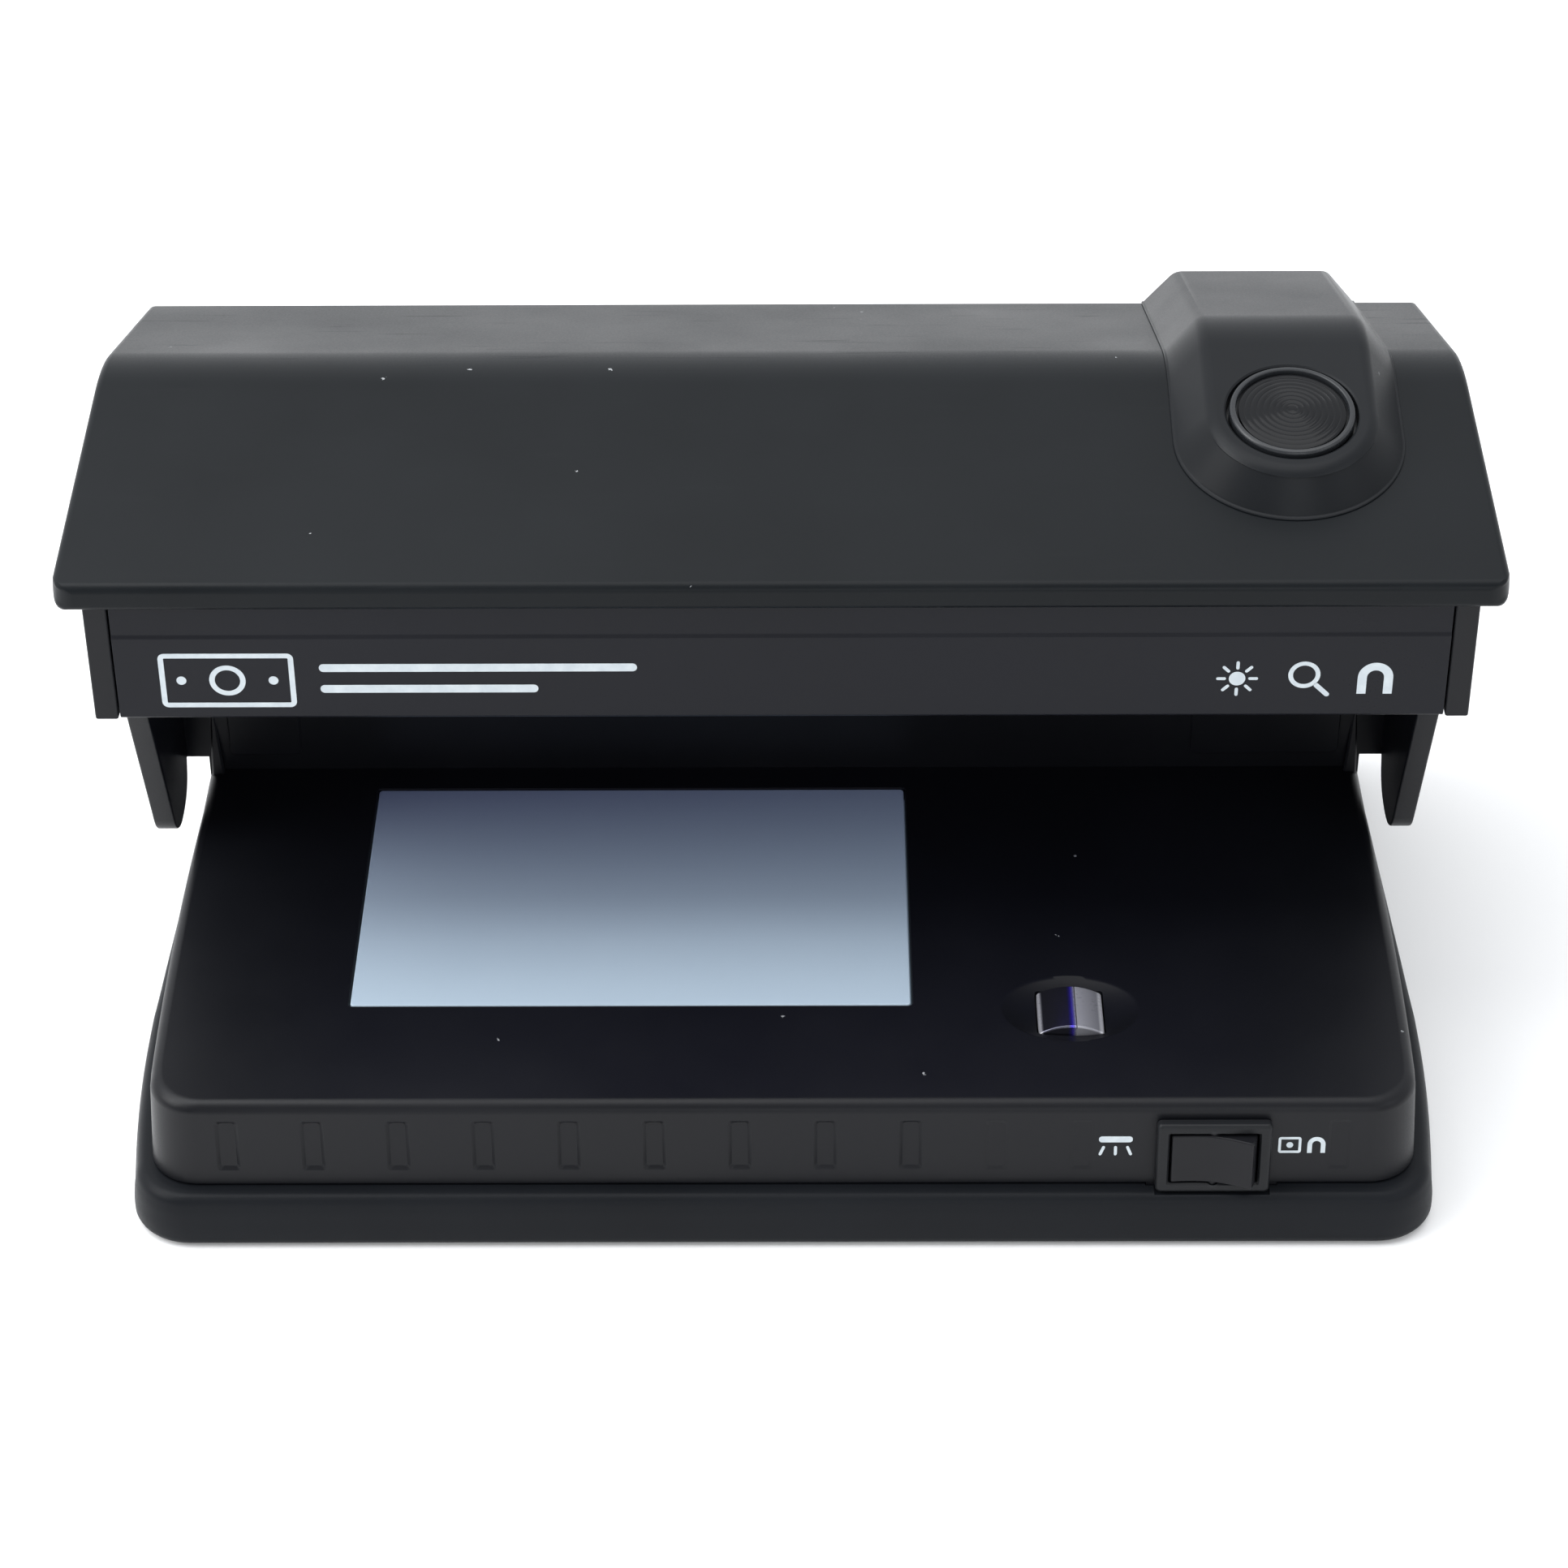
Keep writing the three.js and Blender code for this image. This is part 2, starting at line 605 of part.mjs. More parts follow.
// sections: [half-width, nose length, rise above the cover, nose centre y, back y]
const POD_OUTSIDE = [
  [POD_FOOT_R + 0.2, 20.3, -3.0, LENS_FOOT_Y, 79.0],
  [POD_FOOT_R, 20.1, 0.5, LENS_FOOT_Y, 78.7],
  [POD_TOP_R + 0.35, POD_TOP_R + 0.35, POD_RISE - 0.35, POD_TOP_Y, 77.6],
  [POD_TOP_R - 0.25, POD_TOP_R - 0.25, POD_RISE, POD_TOP_Y, 77.2],
];
const POD_INSIDE = [
  [POD_FOOT_R - 2.0, 18.1, -4.5, LENS_FOOT_Y, 76.4],
  [POD_FOOT_R - 2.2, 17.9, 0.0, LENS_FOOT_Y, 76.2],
  [POD_TOP_R - 1.9, POD_TOP_R - 1.9, POD_RISE - 2.25, POD_TOP_Y + 0.4, 75.2],
];

// round nose at the front, then straight over the ridge and down the back slope
function podSection([half, nose, rise, noseY, backY]) {
  const point = (x, y) => [POD_X + x, y, (y < RIDGE_Y ? faceZ(y) : backZ(y)) + rise];
  return [
    ...sweep(-Math.PI / 2, Math.PI, POD_NOSE_STEPS).map((angle) =>
      point(half * Math.sin(angle), noseY - nose * Math.cos(COVER_TILT) * Math.cos(angle))),
    point(half, RIDGE_Y), point(half, backY), point(-half, backY), point(-half, RIDGE_Y),
  ];
}

function magnifierPod() {
  // the cap folds along the ridge: a fan over the nose, then the back slope
  const ridgeRight = POD_NOSE_STEPS + 1;
  const ridgeLeft = POD_NOSE_STEPS + 4;
  const cap = [];
  for (let i = 0; i < ridgeRight; i++) cap.push([ridgeLeft, i, i + 1]);
  cap.push([ridgeRight, ridgeRight + 1, ridgeRight + 2], [ridgeRight, ridgeRight + 2, ridgeLeft]);
  const pod = carve(
    skin(POD_OUTSIDE.map(podSection), cap),
    skin(POD_INSIDE.map(podSection), cap),
    coverOuter.translate([0, 0, 0.15]),
    moved(bar('z', BORE_R, [2, 12], [0, 0], 32), lensFrame),
  );
  // keep the shell above the cover only
  return pod.decompose().sort((a, b) => b.volume() - a.volume())[0];
}

const magnifierLens = () => turned([
  [0, 3.5], [12.4, 3.5], [12.4, 4.8], [11.45, 4.8], [11.45, 7.7], [11.0, 8.1], [10.3, 8.1],
  [10.0, 7.6], [7.5, 7.85], [4.0, 8.05], [0, 8.15],
], 28);

const lensRetainingRing = () => turnedRing([
  [10.6, 1.8], [12.6, 1.8], [12.6, 3.1], [10.6, 3.1],
], 24);

const viewingDuct = () => place(turnedRing([
  [9.8, 96.0], [11.0, 96.0], [11.0, 107.7], [13.2, 107.7], [13.2, 109.0], [11.0, 109.0],
  [11.0, 118.2], [9.8, 118.2],
], 24), 'z', POD_X, DUCT_Y, 0);

// ---------------------------------------------- front fascia and reflector
const frontFascia = () => prism('x', [
  [FASCIA_Y, HOOD_BOTTOM], [-25.9, HOOD_BOTTOM], [-25.9, 87.8], [-27.1, 88.6], [-27.1, 110.9],
  [-29.1, 110.9], [-29.1, 104.2], [FASCIA_Y, 103.6],
], span(0, 120.5));

function lampReflector() {
  const under = 106.6;
  const top = under + 0.8;
  const sheet = prism('x', [
    [-24.9, 103.6], [-24.2, 103.4], [-22.0, under], [30.0, under],
    [31.9, 103.4], [32.6, 103.6], [30.4, top], [-22.4, top],
  ], span(0, 106.5));
  return sheet.subtract(bar('z', 11.3, [100, 112], [POD_X, DUCT_Y], 24));
}

// -------------------------------------------------------------------- lamps
const TUBE_R = 8.0;
const CAP_LENGTH = 6.2;
const PIN_OFFSET = 2.38;
const HOLDER_R = 8.3;
const HOLDER_GAP = 0.7;             // from the lamp's end cap to its holder
const SIDES = [['left', -1], ['right', 1]];

// half is half the length over the end caps; holderEnd is how far the holder
// reaches beyond that; footZ is the flat end of the holder, above or below the tube
const UV = {
  x: 0, z: 97.5, half: 106.3, holderEnd: 14.1, footZ: 106.0, glass: materials.uvGlass,
};
const LAMPS = [
  { ...UV, name: 'uv_lamp_front', holder: 'uv_holder_front', y: -16.8 },
  { ...UV, name: 'uv_lamp_rear', holder: 'uv_holder_rear', y: 24.0 },
  {
    name: 'backlight_lamp', holder: 'backlight_holder', glass: materials.whiteGlass,
    x: middle(WINDOW.x), y: middle(WINDOW.y), z: 14.5, half: 68.0, holderEnd: 11.0, footZ: 4.3,
  },
];
const BACKLIGHT_X = LAMPS[2].x;

function lampGlass({ half }) {
  const end = half - CAP_LENGTH;
  const inner = TUBE_R - 1.0;
  const outer = TUBE_R - 0.2;
  return turnedRing([[inner, -end], [outer, -end], [outer, end], [inner, end]], 24);
}

// end cap with its two contact pins
function lampCap({ half }, side) {
  const start = half - CAP_LENGTH + 0.05;
  const pinRange = [half - 0.5, half + 7.0];
  const cap = unite(
    turned([[0, start], [TUBE_R, start], [TUBE_R, half - 0.8], [TUBE_R - 0.8, half], [0, half]], 24),
    bar('z', 1.18, pinRange, [0, PIN_OFFSET], 10),
    bar('z', 1.18, pinRange, [0, -PIN_OFFSET], 10),
  );
  return side < 0 ? moved(cap, tiltX(Math.PI)) : cap;
}

// lampholder: round nose round the tube's axis, square foot, pocket facing the lamp
function lampHolder({ x, y, z, half, holderEnd, footZ }, side) {
  const reach = (near, far) => (side < 0 ? [x - far, x - near] : [x + near, x + far]);
  const near = half + HOLDER_GAP;
  const nose = sweep(footZ > z ? Math.PI : 0, Math.PI, 12)
    .map((angle) => [y + HOLDER_R * Math.cos(angle), z + HOLDER_R * Math.sin(angle)]);
  const outline = [...nose, [nose[12][0], footZ], [nose[0][0], footZ]];
  return carve(
    prism('x', outline, reach(near, half + holderEnd)),
    bar('x', 4.4, reach(near - 1, near + 7.9), [y, z], 20),
  );
}

function addLamps() {
  for (const lamp of LAMPS) {
    const { name, x, y, z } = lamp;
    addPiece(`${name}_glass`, place(lampGlass(lamp), 'x', x, y, z), lamp.glass);
    for (const [label, side] of SIDES) {
      const cap = place(lampCap(lamp, side), 'x', x, y, z);
      addPiece(`${name}_cap_${label}`, cap, materials.aluminium);
    }
  }
  for (const lamp of LAMPS) {
    for (const [label, side] of SIDES) {
      addPiece(`${lamp.holder}_${label}`, lampHolder(lamp, side), materials.white);
    }
  }
}

// ------------------------------------------------------- window and its box
const windowDiffuser = () => unite(
  box(WINDOW.x, WINDOW.y, [25.4, 28.95]),
  box(widen(WINDOW.x, 3), widen(WINDOW.y, 3), [24.6, 26.2]),
);

const backlightReflector = () => prism('x', [
  [-42.0, 24.2], [-36.6, 12.2], [-20.4, 4.7], [3.4, 4.7], [19.6, 12.2], [25.0, 24.2],
  [24.0, 24.2], [18.8, 13.0], [3.1, 5.7], [-20.1, 5.7], [-35.8, 13.0], [-41.0, 24.2],
], span(BACKLIGHT_X, 66.85));

// ------------------------------------------------------------ magnetic head
// block with a crowned top
function magneticHead() {
  const half = 6.15;
  const bottom = 13.2;
  const top = sweep(-half, 2 * half, 8).map((x) => [29.6 - 1.9 * (x / half) ** 2, HEAD_X + x]);
  const outline = [[bottom, HEAD_X - half], ...top, [bottom, HEAD_X + half]];
  return prism('y', outline, span(HEAD_Y, 6));
}

const headCarrier = () => carve(
  box(span(HEAD_X, 10.5), span(HEAD_Y, 8.5), [15.2, 23.9]),
  box(span(HEAD_X, 6.4), span(HEAD_Y, 6.25), [14, 25]),
);

// bent strip, [z, x]
const headSpring = () => prism('y', [
  [4.3, 44.0], [4.3, 48.0], [12.4, 51.5], [12.4, 56.5], [4.3, 60.0], [4.3, 64.0],
  [4.8, 64.0], [4.8, 60.3], [12.9, 56.8], [12.9, 51.2], [4.8, 47.7], [4.8, 44.0],
], span(HEAD_Y, 3));

// -------------------------------------------------------------- electronics
const PCB_PARTS_Z = 8.8;            // underside of the parts on the board
const PCB_PARTS_Y = 16;

const mainPcb = () => box(
  widen(PCB_HOLES_X, PCB_MARGIN), widen(PCB_HOLES_Y, PCB_MARGIN), [7.1, 8.7]);

const buzzer = () => place(turned([
  [0, 0], [6, 0], [6, 8.2], [1.2, 8.2], [1.2, 7.4], [0, 7.4],
], 20), 'z', 68, PCB_PARTS_Y, PCB_PARTS_Z);

const capacitor = () => place(turned([
  [0, 0], [5, 0], [5, 11.6], [4.4, 12.2], [0, 12.2],
], 18), 'z', 90, PCB_PARTS_Y, PCB_PARTS_Z);

const CORE_Y = [45, 67];

// block with two upright windows for the coil
function ballastCore(x) {
  const coilWindow = (offset) => box(span(x + offset, 4.7), widen(CORE_Y, 2), [14.2, 42.2]);
  return carve(box(span(x, 28), CORE_Y, [5.2, 51.2]), coilWindow(-14), coilWindow(14));
}

const ballastCoil = (x) => carve(
  box(span(x, 18.3), [38.5, 73.5], [14.6, 41.8]),
  box(span(x, 9.6), widen(CORE_Y, 0.3), [10, 45]),
);

// ------------------------------------------------------ mains inlet and fuse
const INLET_PIN_OFFSET = 4.2;
const SOCKET_R = 4.2;

function powerInlet() {
  const halfRing = (start, x) => sweep(start, Math.PI, 8)
    .map((angle) => [INLET_Z + SOCKET_R * Math.cos(angle), x + SOCKET_R * Math.sin(angle)]);
  const socket = [
    ...halfRing(0, INLET_X + INLET_PIN_OFFSET),
    ...halfRing(Math.PI, INLET_X - INLET_PIN_OFFSET),
  ];
  const block = box(span(INLET_X, 13.5), [58, 77.6], span(INLET_Z, 8.5));
  const flange = box(span(INLET_X, 15.5), [77.2, 79.0], span(INLET_Z, 10.5));
  return unite(block, flange).subtract(prism('y', socket, [63.5, 82]));
}

function inletPin(side) {
  const pin = turned([[0, 0], [1.2, 0], [1.2, 9.6], [0.6, 10.4], [0, 10.4]], 12);
  return place(pin, 'y', INLET_X + side * INLET_PIN_OFFSET, 63.7, INLET_Z);
}

const fuseHolder = () => place(turnedRing([
  [4.0, 0], [6.0, 0], [6.0, 25.4], [7.6, 25.4], [7.6, 27.0], [4.0, 27.0],
], 20), 'y', FUSE_X, 51.8, INLET_Z);

const fuseCap = () => place(turned([
  [0, 0], [3.7, 0], [3.7, 18.6], [5.6, 18.6], [5.4, 20.5], [0, 20.5],
], 18), 'y', FUSE_X, 60.3, INLET_Z);

// ------------------------------------------------------------ rocker switch
// everything here is in the switch frame
const SWITCH_WIDTH = 21.0;
const SWITCH_HEIGHT = 15.0;
const TERMINAL_X = [-5.5, 0, 5.5];
const PIVOT_Y = -0.8;
const ROCKER_TRAVEL = degToRad(20);
const ROCKER_R = 7.85;              // ends of the rocker, about the pivot
const ROCKER_TIP = 2.85;            // tips stand this far out from the pivot
const ROCKER_ROOT = 4.6;            // and the ends run this far in

function switchHousing() {
  return carve(
    unite(
      box(span(0, SWITCH_WIDTH / 2), [-2.3, -0.3], span(0, SWITCH_HEIGHT / 2)),
      box(span(0, 9.5), [-0.8, 12.5], span(0, 6.3)),
    ),
    box(span(0, 8.2), [-5, 9.0], span(0, 5.45)),
    // sockets for the rocker's pivot
    bar('z', 1.5, [-6.2, 6.2], [0, PIVOT_Y], 14),
    ...TERMINAL_X.map((x) => box(span(x, 0.75), [8, 16], span(0, 2.9))),
  );
}

// rocker about its own pivot, with curved ends and a shallow V across the front
function switchRocker() {
  const start = Math.asin(ROCKER_TIP / ROCKER_R);
  const end = -Math.asin(ROCKER_ROOT / ROCKER_R);
  const rightEnd = sweep(start, end - start, 6)
    .map((angle) => [ROCKER_R * Math.cos(angle), -ROCKER_R * Math.sin(angle)]);
  const leftEnd = rightEnd.map(([x, y]) => [-x, y]).reverse();
  const outline = [...rightEnd, ...leftEnd, [-3.6, -2.05], [0, -1.55], [3.6, -2.05]];
  return prism('z', outline, span(0, 5.1)).add(bar('z', 1.2, span(0, 6.0), [0, 0], 12));
}

function addSwitch() {
  const body = new THREE.Group();
  body.applyMatrix4(switchFrame);
  working.add(body);
  addPiece('switch_housing', switchHousing(), materials.black, body);

  const lever = new THREE.Group();
  lever.position.set(0, PIVOT_Y, 0);
  lever.rotation.z = -ROCKER_TRAVEL / 2;
  body.add(lever);
  addPiece('switch_rocker', switchRocker(), materials.rocker, lever);

  TERMINAL_X.forEach((x, i) => {
    const terminal = box(span(x, 0.4), [9.4, 20], span(0, 2.4));
    addPiece(`switch_terminal_${i + 1}`, terminal, materials.brass, body);
  });
}

// -------------------------------------------------- feet, screws and wiring
const foot = () => turned([[0, 0], [5.6, 0], [6.2, 0.6], [6.4, 3.1], [0, 3.1]], 20);

const baseScrew = () => turned([
  [0, 3.0], [2.2, 3.0], [2.8, 3.9], [2.8, 5.1], [1.4, 5.1], [1.4, 16.0], [0, 17.0],
], 12);

const CABLE_R = 1.5;
const LAMP_HARNESS = [
  [-62, 56, 52.4], [-62, 56, 70], [-72, 55, 88], [-96, 52, 106], [-108, 44, 110.5],
  [-113, 30, 110.5], [-114, 10, 110.5],
];
const SWITCH_HARNESS = [
  [82, -50, 17], [94, -45, 14], [106, -30, 12.5], [109, -5, 12], [109, 22, 12],
  [106, 40, 15], [96, 48, 26], [92, 53, 42], [91, 55, 50],
];

function cable(points) {
  const tension = 0.4;
  const path = new THREE.CatmullRomCurve3(
    points.map((point) => new THREE.Vector3(...point)), false, 'catmullrom', tension);
  return solid(new THREE.ExtrudeGeometry(outlineShape(ring(CABLE_R, 6)), {
    steps: points.length * 4, extrudePath: path, bevelEnabled: false, curveSegments: 1,
  }));
}

// ----------------------------------------------------------------- assembly
addPiece('base_tray', baseTray(), materials.tray);
addPiece('main_body', mainBody(), materials.shell);
addPiece('rear_panel', rearPanel(), materials.shell);
for (const [label, side] of SIDES) {
  addPiece(`rear_screw_${label}`, rearScrew(side * REAR_SCREW_X), materials.steel);
}

addPiece('hood_cover', hoodCover(), materials.cover);
addPiece('magnifier_pod', magnifierPod(), materials.pod);
const lensStack = new THREE.Group();
lensStack.applyMatrix4(lensFrame);
working.add(lensStack);
addPiece('magnifier_lens', magnifierLens(), materials.lens, lensStack);
addPiece('lens_retaining_ring', lensRetainingRing(), materials.black, lensStack);
addPiece('viewing_duct', viewingDuct(), materials.black);
addPiece('front_fascia', frontFascia(), materials.fascia);
addPiece('lamp_reflector', lampReflector(), materials.aluminium);
addLamps();

addPiece('window_diffuser', windowDiffuser(), materials.diffuser);
addPiece('backlight_reflector', backlightReflector(), materials.white);
addPiece('magnetic_head', magneticHead(), materials.head);
addPiece('head_carrier', headCarrier(), materials.black);
addPiece('head_spring', headSpring(), materials.brass);

addPiece('main_pcb', mainPcb(), materials.pcb);
addPiece('buzzer', buzzer(), materials.black);
addPiece('capacitor', capacitor(), materials.can);
for (const [name, x] of [['uv_ballast', -62], ['backlight_ballast', 2]]) {
  addPiece(`${name}_core`, ballastCore(x), materials.core);
  addPiece(`${name}_coil`, ballastCoil(x), materials.coil);
}
addPiece('power_inlet', powerInlet(), materials.black);
for (const [label, side] of SIDES) {
  addPiece(`inlet_pin_${label}`, inletPin(side), materials.brass);
}
addPiece('fuse_holder', fuseHolder(), materials.black);
addPiece('fuse_cap', fuseCap(), materials.black);
addSwitch();

FEET.forEach(([x, y], i) => {
  addPiece(`foot_${CORNERS[i]}`, place(foot(), 'z', x, y, 0), materials.rubber);
});
SCREWS.forEach(([x, y], i) => {
  addPiece(`base_screw_${CORNERS[i]}`, place(baseScrew(), 'z', x, y, 0), materials.steel);
});
addPiece('lamp_harness', cable(LAMP_HARNESS), materials.redWire);
addPiece('switch_harness', cable(SWITCH_HARNESS), materials.greyWire);

export default part;
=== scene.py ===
"""Counterfeit bill detector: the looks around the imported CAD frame.

It stands on Z = 0 with its front towards -Y and +X to the right seen from
the front. Shapes are worked in millimetres in the CAD's working frame, then
scaled to metres and moved by SHIFT_Y when a piece is finished.
"""

import random
from contextlib import contextmanager
from math import acos, asin, atan, atan2, copysign, cos, hypot, pi, radians, sin, tan

import bmesh
import bpy
import numpy as np
from mathutils import Matrix, Vector


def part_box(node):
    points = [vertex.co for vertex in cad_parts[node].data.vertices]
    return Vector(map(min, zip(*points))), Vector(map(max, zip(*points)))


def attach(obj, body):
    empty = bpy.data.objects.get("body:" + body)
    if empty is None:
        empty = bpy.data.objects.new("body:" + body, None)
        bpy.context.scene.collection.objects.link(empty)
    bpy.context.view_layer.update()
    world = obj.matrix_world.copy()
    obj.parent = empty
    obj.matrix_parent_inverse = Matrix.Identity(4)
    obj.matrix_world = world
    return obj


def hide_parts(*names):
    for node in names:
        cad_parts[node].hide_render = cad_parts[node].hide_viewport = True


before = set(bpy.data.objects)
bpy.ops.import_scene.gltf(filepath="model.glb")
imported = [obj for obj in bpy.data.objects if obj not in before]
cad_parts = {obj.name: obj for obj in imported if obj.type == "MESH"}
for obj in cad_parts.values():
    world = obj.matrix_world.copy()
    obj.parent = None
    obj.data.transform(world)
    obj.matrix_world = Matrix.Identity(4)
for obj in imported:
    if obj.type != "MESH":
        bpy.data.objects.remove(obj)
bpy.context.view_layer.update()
random.seed(7)

SHIFT_Y = -1.5
TO_METRES = Matrix.Translation((0, SHIFT_Y * 0.001, 0)) @ Matrix.Scale(0.001, 4)


def cad_box(node):
    """Lowest and highest corner of a CAD node in the working frame, mm."""
    return [Vector((p.x * 1000, p.y * 1000 - SHIFT_Y, p.z * 1000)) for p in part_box(node)]


# ------------------------------------------------------------ driving sizes
TRAY_HALF = 121.2           # half width without the crown of the sides
TRAY_CROWN = 2.4
TRAY_FRONT = -77.8
TRAY_BACK = 77.2
TRAY_R = 11.3

SHELL_FOOT = 11.45          # lower edge of the main body
DECK_Z = 29.0
DECK_UNDER = 26.4
LEAN = radians(6.4)         # the front face leans back
FACE_FOOT_Y = -73.15
SHELL_HALF_FOOT = 117.4
SHELL_HALF_TOP = 116.5
SHELL_CROWN = 0.9
WALL = 2.4

FRAME_HALF = 125.1          # outer sides of the column and side plates
PLATE_IN = 120.75           # inner faces of the side plates
COLUMN_Y = 33.0             # front of the column
COLUMN_BACK = 77.0
COLUMN_FLOOR = 32.0
FASCIA_Y = -29.5
HOOD_BOTTOM = 86.0

RIM_Z = 111.2               # lower edge of the cover
LIP_Y = -32.2
COVER_SLOPE = tan(radians(12.4))
COVER_TILT = atan(COVER_SLOPE)
COVER_BACK = 80.0
RIDGE_Y = 25.5
BACK_SLOPE = 0.352

POD_X = 93.0
POD_H = 7.5
POD_TOP_R = 14.8
POD_FOOT_R = 20.8
BORE_R = 12.0
LENS_FOOT_Y = 3.6

win_low, win_high = cad_box("window_diffuser")
WINDOW_FLANGE = (win_low.x, win_high.x, win_low.y, win_high.y)
WINDOW = (win_low.x + 3, win_high.x - 3, win_low.y + 3, win_high.y - 3)
head_low, head_high = cad_box("magnetic_head")
HEAD_X = (head_low.x + head_high.x) / 2
HEAD_Y = (head_low.y + head_high.y) / 2
DISH_RX = 13.25             # oval dish round the head
DISH_RY = 9.65
DISH_DEPTH = 2.0

switch_low, switch_high = cad_box("switch_housing")
SWITCH_X = (switch_low.x + switch_high.x) / 2
SWITCH_Z = 18.3

SLOT_W = 3.85               # grip slots in the front face
SLOT_PITCH = 15.68
SLOT_START_X = -101.9
SLOT_LAST_X = 102.1
SLOT_LOW = 14.9
SLOT_HIGH = 25.2

CORNERS = ("front_left", "front_right", "back_left", "back_right")
SCREWS = [(-110, -55), (110, -55), (-110, 62), (110, 62)]
FEET = [(-98, -61), (98, -61), (-98, 61), (98, 61)]
REAR_SCREW_XS = (-117.5, 117.5)
REAR_SCREW_Z = 98.0
INLET_X = 90
FUSE_X = 56
SOCKET_Z = 54               # height of the inlet and the fuse


def face_y(z):
    """Front face of the main body."""
    return FACE_FOOT_Y + (z - SHELL_FOOT) * tan(LEAN)


def cover_z(y):
    """Front slope of the cover."""
    return 116.6 + COVER_SLOPE * (y + 31.0)


RIDGE_Z = cover_z(RIDGE_Y)


def back_z(y):
    """Back slope of the cover."""
    return RIDGE_Z - BACK_SLOPE * (y - RIDGE_Y)


def cover_half(y, z):
    return 130 - 0.030 * (y + 27) - 0.07 * (z - 113)


# Z stands out of the cover here, Y climbs its front slope
LENS_FRAME = (Matrix.Translation((POD_X, LENS_FOOT_Y, cover_z(LENS_FOOT_Y)))
              @ Matrix.Rotation(COVER_TILT, 4, "X"))
# -Y points out of the front face here
SWITCH_FRAME = (Matrix.Translation((SWITCH_X, face_y(SWITCH_Z), SWITCH_Z))
                @ Matrix.Rotation(-LEAN, 4, "X"))


# -------------------------------------------------------------- mesh tools
scene = bpy.context.scene
MERGE = 1e-4


@contextmanager
def editing(obj):
    edit = bmesh.new()
    edit.from_mesh(obj.data)
    yield edit
    edit.to_mesh(obj.data)
    edit.free()
    obj.data.update()


def link_new(name, data):
    obj = bpy.data.objects.new(name, data)
    scene.collection.objects.link(obj)
    return obj


def solid_from(verts, faces):
    mesh = bpy.data.meshes.new("work")
    mesh.from_pydata(verts, [], faces)
    mesh.update()
    return tidy(link_new("work", mesh), turn=True)


def tidy(obj, turn=False):
    """Merges doubles. Turning faces out is for fresh shapes: it would flip an enclosed void."""
    with editing(obj) as edit:
        bmesh.ops.remove_doubles(edit, verts=edit.verts, dist=MERGE)
        bmesh.ops.dissolve_degenerate(edit, edges=edit.edges, dist=MERGE)
        if turn:
            bmesh.ops.recalc_face_normals(edit, faces=edit.faces)
    return obj


def bake(obj):
    """Applies the modifiers."""
    graph = bpy.context.evaluated_depsgraph_get()
    mesh = bpy.data.meshes.new_from_object(obj.evaluated_get(graph), depsgraph=graph)
    old = obj.data
    obj.modifiers.clear()
    obj.data = mesh
    bpy.data.meshes.remove(old)


def drop(obj):
    mesh = obj.data
    bpy.data.objects.remove(obj)
    bpy.data.meshes.remove(mesh)


def boolean(obj, tool, operation):
    modifier = obj.modifiers.new("boolean", "BOOLEAN")
    modifier.operation = operation
    modifier.solver = "EXACT"
    modifier.object = tool
    bake(obj)
    drop(tool)
    tidy(obj)


def cut(obj, *tools):
    """Cuts away tools that don't touch each other."""
    boolean(obj, group(*tools), "DIFFERENCE")


def unite(obj, other):
    boolean(obj, other, "UNION")


def group(first, *others):
    """One mesh from several that don't touch."""
    if others:
        with editing(first) as edit:
            for other in others:
                edit.from_mesh(other.data)
    for other in others:
        drop(other)
    return first


def moved(obj, matrix):
    obj.data.transform(matrix)
    obj.data.update()
    return obj


def shifted(obj, x, y, z=0.0):
    return moved(obj, Matrix.Translation((x, y, z)))


# Turns a solid made about Z to lie along X or Y
ALONG = {
    "x": Matrix(((0, 0, 1, 0), (1, 0, 0, 0), (0, 1, 0, 0), (0, 0, 0, 1))),
    "y": Matrix(((0, 1, 0, 0), (0, 0, 1, 0), (1, 0, 0, 0), (0, 0, 0, 1))),
}


def laid(obj, axis, x, y, z):
    return moved(obj, Matrix.Translation((x, y, z)) @ ALONG[axis])


def skin(loops, closed=False):
    """Points and side faces through matching loops."""
    count = len(loops[0])
    rows = len(loops)
    faces = []
    for k in range(rows if closed else rows - 1):
        low = k * count
        high = (k + 1) % rows * count
        for i in range(count):
            j = (i + 1) % count
            faces.append((low + i, low + j, high + j, high + i))
    return [point for loop in loops for point in loop], faces


def loft(loops):
    """Solid through matching loops, capped at both ends."""
    verts, faces = skin(loops)
    count = len(loops[0])
    faces.append(tuple(reversed(range(count))))
    faces.append(tuple(range(len(verts) - count, len(verts))))
    return solid_from(verts, faces)


# Places of x, y and z in (outline first, outline second, level)
LAYER_ORDER = {"x": (2, 0, 1), "y": (0, 2, 1), "z": (0, 1, 2)}


def layer(axis, outline, level):
    """An outline of (y, z), (x, z) or (x, y) points set at a level on the axis."""
    order = LAYER_ORDER[axis]
    return [tuple((*point, level)[k] for k in order) for point in outline]


def prism(axis, outline, low, high):
    return loft([layer(axis, outline, low), layer(axis, outline, high)])


def box(left, right, front, back, low, high):
    return prism("z", [(left, front), (right, front), (right, back), (left, back)], low, high)


def ring(radius, count, x=0.0, y=0.0, radius_y=None):
    if radius_y is None:
        radius_y = radius
    turns = [2 * pi * i / count for i in range(count)]
    return [(x + radius * cos(turn), y + radius_y * sin(turn)) for turn in turns]


def rod(axis, radius, low, high, centre, count=32):
    return prism(axis, ring(radius, count, *centre), low, high)


